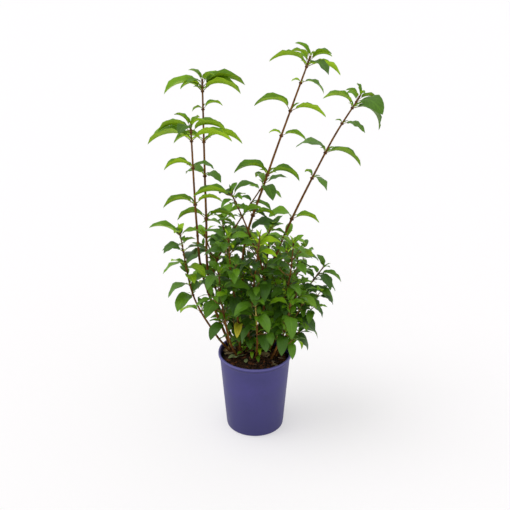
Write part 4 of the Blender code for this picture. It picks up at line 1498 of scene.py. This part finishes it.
@dataclass
class StemRule:
    """How a stem is drawn: its rows, its relief, its swollen nodes and its flared foot.

    A collar is the swelling of a node with leaves, lower on a bushy stem, and a scar is that
    of a leafless one, all as shares of the radius. The limb gap is how near to a stem's skin
    a leaf of another shoot may come.
    """

    row_step: float = 0.0036
    around: int = 14
    ridge: float = 0.055
    ridge_rise: float = 90.0
    collar: float = 1.10
    low_collar: float = 0.62
    scar: float = 0.30
    collar_share: float = 0.85
    dark_share: float = 0.70
    young_node: float = 0.030
    young_share: float = 0.3
    flare: float = 0.38
    flare_height: float = 0.009
    limb_step: float = 0.004
    limb_gap: float = 0.0025

    ACROSS_NODE = np.array((-1.5, -0.8, -0.35, 0.0, 0.35, 0.8, 1.5))

    def radius(self, growth: "Growth", place: Array) -> Array:
        """Plain radius at distances from the foot: it falls evenly from foot to tip."""
        foot, tip = growth.shoot.radii
        return foot + (tip - foot) * place / growth.route.length

    def limb(self, growth: "Growth") -> Arrays:
        """Points along a shoot's stem, and how near to each a leaf may come."""
        stops = np.arange(0.0, growth.route.length, self.limb_step)
        return growth.route.at(stops), self.radius(growth, stops) + self.limb_gap

    def rings(self, growth: "Growth", start: float, end: float, collars: Array,
              scars: Array) -> Arrays:
        """One tube along part of a shoot's stem, with its relief.

        The radius grows by a bell round each node, lower near the tip, by a flare that fades
        up from the foot, and by noise drawn out along the stem. Rows stand closer at a node.

        Args:
            growth: The shoot.
            start: Distance where the tube starts.
            end: Distance where it ends.
            collars: Distances of nodes with leaves.
            scars: Distances of leafless nodes.

        Returns:
            Ring corners by row and place, and the distance of each row.
        """
        rows = max(4, int(round((end - start) / self.row_step)))
        nodes = np.concatenate((collars, scars))
        width = self.collar_share * self.radius(growth, nodes)
        close = (nodes[:, None] + width[:, None] * self.ACROSS_NODE).ravel()
        close = close[(close > start) & (close < end)]
        stops = np.unique(np.concatenate((np.linspace(start, end, rows), close)).round(4))
        collar = self.collar if growth.shoot.spray is Spray.SUNLIT else self.low_collar
        height = np.where(np.arange(len(nodes)) < len(collars), collar, self.scar)
        left = growth.route.length - nodes
        height = height * np.clip(left / self.young_node, self.young_share, 1.0)
        bells = height * np.exp(-((stops[:, None] - nodes) / width) ** 2)
        bell = bells.max(axis=1, initial=0.0)
        grown = 1.0 + bell + self.flare * np.exp(-stops / self.flare_height)
        grown = grown * self.radius(growth, stops)
        skin = ring_ways(self.around)[None] + UP * self.ridge_rise * stops[:, None, None]
        relief = self.ridge * noise(skin * 1.6, 1.0, growth.seed)
        relief += 0.5 * self.ridge * noise(skin * 4.1, 1.0, growth.seed + 40)
        full = grown[:, None] * (1.0 + relief)
        side = np.array(((1.0, 0.0, 0.0),))
        return tube_rings(growth.route.at(stops)[None], full[None], side, self.around)[0], stops

    def woods(self, growth: "Growth", stops: Array, nodes: Array, plain: Array) -> Array:
        """The wood of each row: tan on the pale stretch, dark at the nodes, or else plain.

        Args:
            growth: The shoot.
            stops: The distance of each row.
            nodes: Distances of the nodes.
            plain: The wood where there is neither.

        Returns:
            One slot for each row.
        """
        low, high = growth.shoot.pale
        woods = np.where((stops > low) & (stops < high), Wood.TAN.value, plain)
        reach = self.dark_share * self.radius(growth, nodes)
        dark = (np.abs(stops[:, None] - nodes) < reach).any(axis=1)
        return np.where(dark, Wood.NODE.value, woods)


@dataclass(frozen=True)
class Offshoot:
    """A kind of side shoot.

    The way is its shares of its own heading and of the stem's, and the rise is how much of
    straight up its second half gains.
    """

    length: float
    way: Span
    rise: float
    radii: Span


TWIG = Offshoot(0.070, (0.75, 0.55), 0.5, (0.0015, 0.0010))
SPUR = Offshoot(0.026, (0.55, 0.75), 0.4, (0.0009, 0.0006))


@dataclass
class Growth:
    """All leaves and side twigs of one shoot, by the rule of the part's source.

    Lengths are in metres and turns in degrees. A value whose name ends in from is the least
    draw, of -1 to 1, that brings what it is named for. The whole numbers in the keys of
    twigs, spurs, tufts and buds only keep their draws apart from the stem's own.
    """

    shoot: Shoot
    seed: int

    RULE_ROWS = 100

    rule_gap: float = 0.6
    tip_gap: float = 0.004
    tip_spacing: float = 0.014
    turn_spread: float = 24.0
    youngest_leaf: float = 0.55
    grown_below: float = 0.06
    youth_droop: float = 30.0
    low_lift: float = 20.0
    low_below: float = 0.2
    youngest_below: float = 0.012
    largest_lime: float = 0.036
    middle_height: float = 0.40
    twig_from: float = 0.66
    short_twig_from: float = 0.25
    short_twig: float = 0.70
    spur_from: float = -0.5
    tuft_from: float = -0.35
    tuft_below: float = 0.024
    inside: float = 0.02

    habit: Habit = field(init=False)
    accents: dict[tuple[int, int], tuple[Tone, Spray]] = field(init=False)
    route: Route = field(init=False)
    buds: list[Bud] = field(init=False, default_factory=list)
    twigs: list[tuple[Route, Span]] = field(init=False, default_factory=list)
    nodes: list[float] = field(init=False, default_factory=list)

    def __post_init__(self) -> None:
        """Grows the shoot."""
        self.habit = self.shoot.spray.value
        styles = ACCENTS.get(self.shoot.name, {})
        self.accents = {spot: style for style, spots in styles.items() for spot in spots}
        self.route = Route(((*self.shoot.foot, SOIL_TOP), *self.shoot.knots))
        self.grow_placed_pairs()
        if self.shoot.leaf:
            self.grow_by_rule()
        self.grow_tip()

    def tone(self, key: Key, below: float, place: float, length: float) -> Tone:
        """Draws a leaf's tone from its spray, lighter near a tip and high in the plant.

        Args:
            key: The leaf's key.
            below: Its distance from a tip.
            place: Its distance from the stem's foot.
            length: Its length, as only a small leaf is lime.

        Returns:
            The tone.
        """
        if below < self.youngest_below:
            small = length < self.largest_lime and wobble(*key, Draw.LIME) > 0.0
            return self.habit.youngest if small else max(self.habit.youngest, Tone.FRESH)
        drawn = 0.5 + 0.5 * float(wobble(*key, Draw.TONE))
        drawn *= min(1.0, 0.45 + below / 0.10)
        drawn -= 0.6 * (float(self.route.at(place)[2]) - self.middle_height)
        steps = np.cumsum(self.habit.shares)
        tone = Tone(int(np.searchsorted(steps, min(0.999, max(0.0, drawn)) * steps[-1])))
        return Tone.BRIGHT if tone is Tone.LIME and length > self.largest_lime else tone

    def pairs(self, route: Route, bare: float, spacing: float, leaf: float, bearing: float,
              seed: int) -> list[tuple[int, int, float, float, float, float]]:
        """Opposite pairs from the tip down, each turned a quarter from the last.

        Args:
            route: The stem's line.
            bare: Leafless length from its foot.
            spacing: Distance between pairs.
            leaf: Full-grown leaf length.
            bearing: Bearing of the first leaf.
            seed: Which stem.

        Returns:
            For each leaf its row, side, place, bearing, length and extra droop.
        """
        found = []
        index = 0
        while True:
            below = self.tip_gap + self.tip_spacing * min(index, 1)
            if index > 1:
                below += spacing * (index - 1) * about(0.10, seed, index, Draw.SPACING)
            if route.length - below < bare:
                return found
            youth = min(1.0, self.youngest_leaf + below / self.grown_below)
            extra = (self.youth_droop * (1 - youth)
                     - self.low_lift * min(1.0, below / self.low_below))
            for side in (0, 1):
                turn = (bearing + 90 * index + 180 * side
                        + self.turn_spread * wobble(seed, index, side, Draw.TURN))
                length = leaf * youth * about(0.16, seed, index, side, Draw.LENGTH)
                found.append((index, side, route.length - below, turn, length, extra))
            index += 1

    def add_leaf(self, row: int, key: Key, below: float, place: float, turn: float,
                 length: float, extra: float) -> None:
        """Adds a leaf of the stem itself, with its accent if its row and side have one.

        Args:
            row: Its row among the accents.
            key: Its key, which ends with its side.
            below: Its distance from the stem's tip.
            place: Its distance from the stem's foot.
            turn: Its bearing.
            length: Its length.
            extra: Its extra droop.
        """
        usual = self.tone(key, below, place, length), self.shoot.spray
        tone, spray = self.accents.get((row, key[2]), usual)
        self.buds.append(Bud(self.route, place, turn, length, extra, key, tone, spray.value))

    def grow_placed_pairs(self) -> None:
        """The placed pairs, and a tuft of small leaves in most axils."""
        for index, (below, bearing, one, other) in enumerate(self.shoot.pairs):
            place = self.route.length - below
            self.nodes.append(place)
            for side, length in enumerate((one, other)):
                key = (self.seed, index, side)
                turn = bearing + 180 * side
                self.add_leaf(index, key, below, place, turn, length, 0)
                if below > self.tuft_below:
                    self.grow_tuft(place, turn, length, key)

    def grow_by_rule(self) -> None:
        """The pairs below the placed ones, side twigs, and spurs where there is no twig."""
        shoot = self.shoot
        first = shoot.pairs[-1][0] + self.rule_gap * shoot.spacing if shoot.pairs else 0.0
        for index, side, place, turn, length, extra in self.pairs(
                self.route, shoot.bare, shoot.spacing, shoot.leaf, shoot.bearing, self.seed):
            below = self.route.length - place
            if below < first:
                continue
            key = (self.seed, index, side)
            self.nodes.append(place)
            self.add_leaf(self.RULE_ROWS + index, key, below, place, turn, length, extra)
            drawn = wobble(*key, Draw.TWIG)
            if index == 1:
                self.grow_tuft(place, turn, length, key)
            elif index > 1 and drawn > self.short_twig_from:
                share = 1.0 if drawn > self.twig_from else self.short_twig
                self.grow_twig(place, turn, index, side, share)
            elif index > 1 and wobble(*key, Draw.SPUR) > self.spur_from:
                self.grow_spur(place, turn, key)

    def sprout(self, kind: Offshoot, place: float, bearing: float, share: float) -> Route:
        """A twig or spur, which leaves at a slant and then rises.

        Args:
            kind: Its measures.
            place: Distance of its root from the stem's foot.
            bearing: Which way it heads.
            share: Its length as a share of the usual one.

        Returns:
            Its line.
        """
        root = self.route.at(place)
        ahead, along = kind.way
        out = unit(ahead * bearing_ways(bearing) + along * self.route.along(place))
        half = 0.5 * kind.length * share
        middle = root + half * out
        line = Route((root, middle, middle + half * unit(out + kind.rise * UP)))
        self.twigs.append((line, kind.radii))
        return line

    def grow_twig(self, place: float, turn: float, index: int, side: int,
                  share: float) -> None:
        """A side twig with pairs of its own.

        Args:
            place: Distance of its root from the stem's foot.
            turn: Bearing of the leaf that it grows above.
            index: Row of that leaf.
            side: Side of that leaf.
            share: Its length as a share of a full twig's.
        """
        twig = self.sprout(TWIG, place, turn + 20, share)
        seed = self.seed * 10 + index + 3 * side
        rows = self.pairs(twig, bare=share * 0.030, spacing=share * 0.028,
                          leaf=share * 0.8 * self.shoot.leaf, bearing=turn + 70, seed=seed)
        for row, edge, spot, way, size, more in rows:
            key = (seed, row, edge)
            tone = self.tone(key, twig.length - spot + self.inside, place, size)
            self.buds.append(Bud(twig, spot, way, size, more, key, tone, self.habit))

    def grow_spur(self, place: float, turn: float, key: Key) -> None:
        """A short shoot in an axil, with two pairs of small leaves.

        Args:
            place: Distance of its root from the stem's foot.
            turn: Bearing of the leaf that it grows above.
            key: Key of that leaf.
        """
        heading = turn + 12 * wobble(*key, Draw.SPUR_TURN)
        spur = self.sprout(SPUR, place, heading, about(0.35, *key, Draw.SPUR_LENGTH))
        for row, (below, share) in enumerate(((0.001, 0.30), (0.009, 0.50))):
            for side in (0, 1):
                small = (key[0] + 50 * row, key[1] + 7, key[2] + 2 * side)
                size = share * self.shoot.leaf * about(0.2, *small, Draw.SPUR_LEAF)
                way = turn + 90 * row + 45 + 180 * side
                tone = self.tone(small, self.inside, place, size)
                self.buds.append(Bud(spur, spur.length - below, way, size, 20, small, tone,
                                     self.habit, slender=0.92))

    def grow_tuft(self, place: float, turn: float, leaf: float, key: Key) -> None:
        """Two small young leaves in an axil, at up to about a quarter of its leaf's length.

        Args:
            place: Distance of the axil from the stem's foot.
            turn: Bearing of the leaf there.
            leaf: That leaf's length.
            key: Its key.
        """
        youngest = self.habit.youngest
        for edge, swing in enumerate((-38, 34)):
            small = (key[0] + 60, key[1] + 11 * edge, key[2])
            if wobble(*small, Draw.TUFT) < self.tuft_from:
                continue
            size = min(0.024, 0.26 * leaf) * about(0.35, *small, Draw.TUFT_LEAF)
            young = wobble(*small, Draw.TUFT_TONE) > 0.2
            tone = youngest if young else max(youngest, Tone.FRESH)
            self.buds.append(Bud(self.route, place + 0.002, turn + swing, size, 30, small, tone,
                                 self.habit, lift=22, slender=0.8))

    def grow_tip(self) -> None:
        """The bud at the tip: pairs of narrow leaves that stand almost upright."""
        pairs = self.shoot.spire
        spacing = 0.002 if pairs == 2 else 0.011
        for row in range(pairs):
            place = self.route.length - (0.001 + spacing * row)
            for side in (0, 1):
                turn = self.shoot.bearing + 90 * row + 180 * side + 30
                self.buds.append(Bud(self.route, place, turn, 0.013 + 0.007 * row, 20,
                                     (self.seed + 70, row, side), self.habit.youngest,
                                     self.habit, lift=26 - 10 * row / (pairs - 1),
                                     slender=0.7))


def tube_piece(name: str, tubes: list[Arrays], finishes: Finishes) -> bpy.types.Object:
    """One woody piece from several tubes.

    Args:
        name: Name of the piece.
        tubes: Ring corners of each tube, and the wood of each of its rows.
        finishes: The materials.

    Returns:
        The piece.
    """
    pile = Pile()
    for rings, wood in tubes:
        around = rings.shape[1]
        pile.add(rings[None], np.stack((rings[0].mean(0), rings[-1].mean(0)))[None])
        pile.slots[-2] = np.repeat((wood[0], wood[-1]), around)
        pile.slots[-1] = np.repeat(wood[:-1], around)
    piece = pile.make(name, finishes.wood)
    return piece


def petiole_tubes(leaves: Leaves) -> list[Arrays]:
    """The petioles of a batch, as tubes of their own wood."""
    return [(rings, np.full(len(rings), Wood.PETIOLE.value)) for rings in leaves.petioles()]


def leaf_piece(name: str, leaves: Leaves, finishes: Finishes) -> bpy.types.Object:
    """The blades of a batch, each with its tone above and its paler skin below.

    Args:
        name: Name of the piece.
        leaves: The settled batch.
        finishes: The materials.

    Returns:
        The leafy piece.
    """
    tones = np.array([bud.tone.value for bud in leaves.buds])[:, None]
    below = np.arange(len(leaves.rule.ACROSS)) >= leaves.rule.EDGES[1]
    piece = leaves.blade_pile(2 * tones + below).make(name, finishes.leaf)
    return piece


@dataclass
class Canes:
    """The leafless lower stretch of each stem, with the relief of its bark."""

    finishes: Finishes
    rule: StemRule
    sunk: float = 0.006
    scars: int = 5
    scar_spacing: float = 0.085
    scar_lowest: float = 0.03

    def build(self, growth: Growth) -> None:
        """One shoot's cane, from just under the peat to where its mass starts.

        Args:
            growth: The shoot.
        """
        name = growth.shoot.name
        scars = min(growth.nodes) - self.scar_spacing * np.arange(1, self.scars + 1)
        scars = scars[scars > self.scar_lowest]
        rings, stops = self.rule.rings(growth, 0.0, growth.shoot.bare, np.array(()), scars)
        rings[0, :, 2] -= self.sunk
        woods = self.rule.woods(growth, stops, scars, Wood.BARK.value)
        piece = tube_piece(f"cane_{name}", [(rings, woods)], self.finishes)
        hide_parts(f"stem_{name}")


@dataclass
class FoliageMass:
    """One shoot's leafy top: its stem, side twigs and petioles, and its leaves."""

    finishes: Finishes
    growth: Growth
    rule: LeafRule
    stems: StemRule
    least_leaf: float = 0.008
    overlap: float = 0.001
    young_stretch: float = 0.05
    twig_rows: int = 9
    twig_around: int = 7

    def build(self, limbs: Arrays, pot: PotShell) -> None:
        """The woody piece and the leafy piece of the mass.

        Args:
            limbs: Points along the other shoots' stems, and the clearance at each.
            pot: The pot that the leaves keep off.
        """
        name = self.growth.shoot.name
        buds = [bud for bud in self.growth.buds if bud.length > self.least_leaf]
        leaves = Leaves(buds, self.rule).settle(*limbs, pot)
        for piece in (tube_piece(f"twigs_{name}", self.tubes(leaves), self.finishes),
                      leaf_piece(f"leaves_{name}", leaves, self.finishes)):
            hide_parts(f"foliage_{name}")

    def tubes(self, leaves: Leaves) -> list[Arrays]:
        """The stem within the mass, its twigs and the petioles, with the wood of each row.

        Args:
            leaves: The settled batch.

        Returns:
            Rings and woods, tube by tube.
        """
        growth = self.growth
        nodes = np.array(growth.nodes)
        length = growth.route.length
        rings, stops = self.stems.rings(growth, growth.shoot.bare - self.overlap, length, nodes,
                                        np.array(()))
        young = stops > length - self.young_stretch
        plain = np.where(young, Wood.YOUNG.value, Wood.BARK.value)
        tubes = [(rings, self.stems.woods(growth, stops, nodes, plain))]
        for twig, radii in growth.twigs:
            stops = np.linspace(0.0, twig.length, self.twig_rows)
            radius = np.interp(stops, (0.0, twig.length), radii)
            side = np.cross(twig.along(0.5 * twig.length), UP)[None]
            rings = tube_rings(twig.at(stops)[None], radius[None], side, self.twig_around)[0]
            tubes.append((rings, np.full(self.twig_rows, Wood.YOUNG.value)))
        return tubes + petiole_tubes(leaves)


@dataclass
class Suckers:
    """Young shoots round the feet of the canes: small bright ones, and leafier shaded ones."""

    finishes: Finishes
    growths: list[Growth]
    rule: LeafRule
    rows: int = 14
    around: int = 8
    radii: Span = (0.0014, 0.0007)
    sunk: float = 0.004

    def build(self, pot: PotShell) -> None:
        """Their stems and their leaves, which keep off the pot, as two pieces.

        Args:
            pot: The pot.
        """
        buds = [bud for growth in self.growths for bud in growth.buds]
        leaves = Leaves(buds, self.rule).settle(np.zeros((0, 3)), np.zeros(0), pot)
        tubes = petiole_tubes(leaves)
        level = np.array(((1.0, 0.0, 0.0),))
        radii = np.linspace(*self.radii, self.rows)
        for growth in self.growths:
            points = growth.route.at(np.linspace(0.0, growth.route.length, self.rows))
            points[0, 2] -= self.sunk
            rings = tube_rings(points[None], radii[None], level, self.around)[0]
            tubes.append((rings, np.full(self.rows, Wood.YOUNG.value)))
        tube_piece("sucker_stems", tubes, self.finishes)
        leaf_piece("sucker_leaves", leaves, self.finishes)


SUCKERS: tuple[Shoot, ...] = (
    Shoot("sucker_tall", (-0.0445, 0.0278),
          ((-0.044, 0.018, 0.225), (-0.041, 0.0, 0.265), (-0.0385, -0.018, 0.312)),
          0.02, 0.024, 0.024, 40,
          ((0.003, 170, 0.022, 0.016), (0.01, 262, 0.05, 0.02), (0.034, 250, 0.03, 0.016)),
          Spray.SUCKER),
    Shoot("sucker_middle", (-0.0104, 0.0077),
          ((-0.009, 0.004, 0.205), (-0.007, 0.0, 0.22), (-0.006, -0.003, 0.238)),
          0.013, 0.009, 0.03, 70, (), Spray.SUCKER),
    Shoot("sucker_front", (0.0026, 0.0),
          ((0.004, -0.004, 0.206), (0.006, -0.008, 0.222), (0.007, -0.012, 0.244)),
          0.013, 0.01, 0.032, 15, (), Spray.SUCKER),
    Shoot("sucker_right", (0.0183, 0.0278),
          ((0.019, 0.024, 0.21), (0.02, 0.02, 0.23), (0.02, 0.017, 0.255)),
          0.013, 0.012, 0.028, 120, (), Spray.SUCKER),
    Shoot("sucker_left", (-0.03, 0.01),
          ((-0.031, 0.007, 0.202), (-0.032, 0.004, 0.214), (-0.032, 0.002, 0.226)),
          0.012, 0.01, 0.022, 150, (), Spray.SUCKER),
    Shoot("inner_left", (-0.024, 0.04),
          ((-0.027, 0.044, 0.225), (-0.031, 0.048, 0.262), (-0.035, 0.05, 0.305)),
          0.02, 0.022, 0.05, 20, (), Spray.INNER),
    Shoot("inner_middle", (-0.004, 0.056),
          ((-0.006, 0.062, 0.225), (-0.009, 0.066, 0.262), (-0.01, 0.068, 0.3)),
          0.02, 0.022, 0.05, 70, (), Spray.INNER),
    Shoot("inner_right", (0.018, 0.044),
          ((0.018, 0.048, 0.225), (0.017, 0.05, 0.262), (0.016, 0.05, 0.305)),
          0.02, 0.022, 0.05, 120, (), Spray.INNER),
    Shoot("inner_front", (-0.01, 0.014),
          ((-0.012, 0.01, 0.225), (-0.015, 0.006, 0.262), (-0.019, 0.002, 0.3)),
          0.028, 0.022, 0.046, 160, (), Spray.INNER),
    Shoot("inner_outer", (-0.04, 0.022),
          ((-0.046, 0.014, 0.235), (-0.052, 0.006, 0.275), (-0.056, 0.0, 0.315)),
          0.05, 0.024, 0.052, 100, (), Spray.INNER),
    Shoot("inner_crown", (-0.008, 0.032),
          ((-0.009, 0.034, 0.27), (-0.013, 0.038, 0.385), (-0.016, 0.04, 0.497)),
          0.15, 0.03, 0.056, 80, (), Spray.INNER),
    Shoot("inner_back", (0.01, 0.06),
          ((0.012, 0.064, 0.27), (0.01, 0.068, 0.385), (0.006, 0.07, 0.486)),
          0.17, 0.03, 0.054, 20, (), Spray.INNER),
    Shoot("inner_high", (-0.026, 0.034),
          ((-0.029, 0.024, 0.27), (-0.03, 0.012, 0.36), (-0.028, 0.004, 0.45)),
          0.07, 0.034, 0.056, 30, (), Spray.INNER),
)


@dataclass(frozen=True)
class FallenLeaf:
    """A leaf on the peat: its middle, bearing, length, and whether it is dry."""

    place: tuple[float, float]
    bearing: float
    length: float
    dry: bool


FALLEN: tuple[FallenLeaf, ...] = (
    FallenLeaf((-0.07, 0.005), 15, 0.026, True),
    FallenLeaf((-0.05, -0.015), 25, 0.052, False),
    FallenLeaf((-0.02, -0.03), 80, 0.022, False),
    FallenLeaf((-0.069, 0.034), 75, 0.042, True),
    FallenLeaf((-0.01, 0.025), 150, 0.042, True),
    FallenLeaf((0.024, 0.01), 200, 0.04, True),
    FallenLeaf((0.05, -0.04), 320, 0.03, True),
    FallenLeaf((0.02, 0.065), 100, 0.038, True),
)


@dataclass
class Litter:
    """Fallen leaves that lie on the peat, some dry and some still green."""

    finishes: Finishes
    peat: Peat
    rule: LeafRule
    clear: float = 0.0025
    half_line: float = 0.01
    rise: float = 3.0
    droop: float = -8.0
    fold: float = 8.0

    def build(self) -> None:
        """All fallen leaves, flat and a little curled, as one piece.

        Each leaves the middle of a short line across its base, clear of the peat under it.
        """
        buds = []
        for index, fallen in enumerate(FALLEN):
            heading = bearing_ways(fallen.bearing)
            level = np.array((*fallen.place, 0.0))
            spots = level + np.linspace(-0.5, 0.5, 7)[:, None] * fallen.length * heading
            height = float(self.peat.heights(spots).max()) + self.clear
            root = level + UP * height - 0.5 * fallen.length * heading
            across = self.half_line * np.array((-heading[1], heading[0], 0.0))
            line = Route((root - across, root, root + across))
            buds.append(Bud(line, self.half_line, fallen.bearing, fallen.length, 0,
                            (90, index, 0), Tone.DEEP, Spray.BUSH.value))
        leaves = Leaves(buds, self.rule)
        leaves.rise[:] = self.rise
        leaves.droop[:] = self.droop
        leaves.fold[:] = self.fold
        green = np.array([not fallen.dry for fallen in FALLEN], int)
        slots = np.repeat(green[:, None], len(self.rule.ACROSS), 1)
        piece = leaves.blade_pile(slots).make("fallen_leaves", self.finishes.fallen)


@dataclass
class Studio:
    """The plain pale floor, the soft light and the camera at the photograph's angle."""

    floor_size: float = 60.0
    floor_colour: Colour = (0.62, 0.61, 0.615)
    glow_colour: Colour = (1.0, 0.985, 0.995)
    glow: float = 0.41
    sky: float = 0.72
    key: float = 0.90
    key_angle: float = 42.0
    key_way: Point = (0.62, 0.04, -1.0)
    camera_place: Point = (0.0, -2.227, 1.552)
    camera_pitch: float = 64.5
    focal_pixels: float = 1000.0
    picture: int = 510
    sensor: float = 36.0

    def build(self) -> None:
        """Sets up everything round the plant."""
        self.lay_floor()
        self.light()
        self.aim()
        view = bpy.context.scene.view_settings
        view.view_transform = "Standard"
        view.look = "None"

    def lay_floor(self) -> None:
        """One wide level sheet at the height of the pot's underside."""
        coat = Coat("studio_floor", self.floor_colour, roughness=0.9, specular=0.1)
        grain = coat.new("TexNoise", {"Vector": coat.place, "Scale": 3.0})
        shades = (varied(self.floor_colour, factor) for factor in (0.997, 1.003))
        sockets = coat.surface.inputs
        coat.feed(sockets["Base Color"], coat.blend(grain.outputs["Fac"], *shades))
        coat.feed(sockets["Emission Color"], self.glow_colour)
        coat.feed(sockets["Emission Strength"], self.glow)
        half = 0.5 * self.floor_size
        corners = [(-half, -half, 0), (half, -half, 0), (half, half, 0), (-half, half, 0)]
        mesh = bpy.data.meshes.new("studio_floor")
        mesh.from_pydata(corners, [], [(0, 1, 2, 3)])
        mesh.materials.append(coat.material)
        floor = bpy.data.objects.new("studio_floor", mesh)
        bpy.context.scene.collection.objects.link(floor)

    def light(self) -> None:
        """An even white sky and one broad sun from the upper left."""
        scene = bpy.context.scene
        scene.world = scene.world or bpy.data.worlds.new("studio_sky")
        scene.world.use_nodes = True
        sky = scene.world.node_tree.nodes["Background"]
        sky.inputs["Color"].default_value = (1.0, 1.0, 1.0, 1.0)
        sky.inputs["Strength"].default_value = self.sky
        sun = bpy.data.lights.new("studio_key", "SUN")
        sun.energy = self.key
        sun.angle = math.radians(self.key_angle)
        lamp = bpy.data.objects.new("studio_key", sun)
        way = unit(np.array(self.key_way))
        lamp.rotation_euler = (0.0, -math.acos(-way[2]), math.atan2(way[1], way[0]))
        scene.collection.objects.link(lamp)

    def aim(self) -> None:
        """The camera, whose lens gives the photograph's scale on its width."""
        data = bpy.data.cameras.new("camera")
        data.sensor_width = self.sensor
        data.lens = self.focal_pixels * self.sensor / self.picture
        camera = bpy.data.objects.new("camera", data)
        camera.location = self.camera_place
        camera.rotation_euler = (math.radians(self.camera_pitch), 0.0, 0.0)
        bpy.context.scene.collection.objects.link(camera)
        bpy.context.scene.camera = camera


def others(limbs: list[Arrays], own: int) -> Arrays:
    """The points along every stem but one, and how near to each a leaf may come."""
    points, reach = zip(*(limb for index, limb in enumerate(limbs) if index != own))
    return np.concatenate(points), np.concatenate(reach)


def main() -> None:
    """Loads the frame, dresses the pot, the peat and every shoot, and sets up the studio."""
    logging.basicConfig(level=logging.INFO, format="%(name)s: %(message)s")
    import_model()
    Studio().build()
    finishes = Finishes()
    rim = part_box("pot")[1]
    pot = PotShell(finishes, height=rim.z, rim_radius=rim.x)
    pot.build()
    peat = Peat(pot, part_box("soil")[1].z)
    peat.build()
    BarkChips(peat).build()
    growths = [Growth(shoot, seed) for seed, shoot in enumerate(SHOOTS, start=1)]
    stem_rule = StemRule()
    leaf_rule = LeafRule()
    canes = Canes(finishes, stem_rule)
    limbs = [stem_rule.limb(growth) for growth in growths]
    for own, growth in enumerate(growths):
        canes.build(growth)
        FoliageMass(finishes, growth, leaf_rule, stem_rule).build(others(limbs, own), pot)
    young = [Growth(shoot, seed, twig_from=2.0, short_twig_from=2.0, spur_from=2.0)
             for seed, shoot in enumerate(SUCKERS, start=401)]
    Suckers(finishes, young, leaf_rule).build(pot)
    Litter(finishes, peat, leaf_rule).build()


if __name__ == "__main__":
    main()
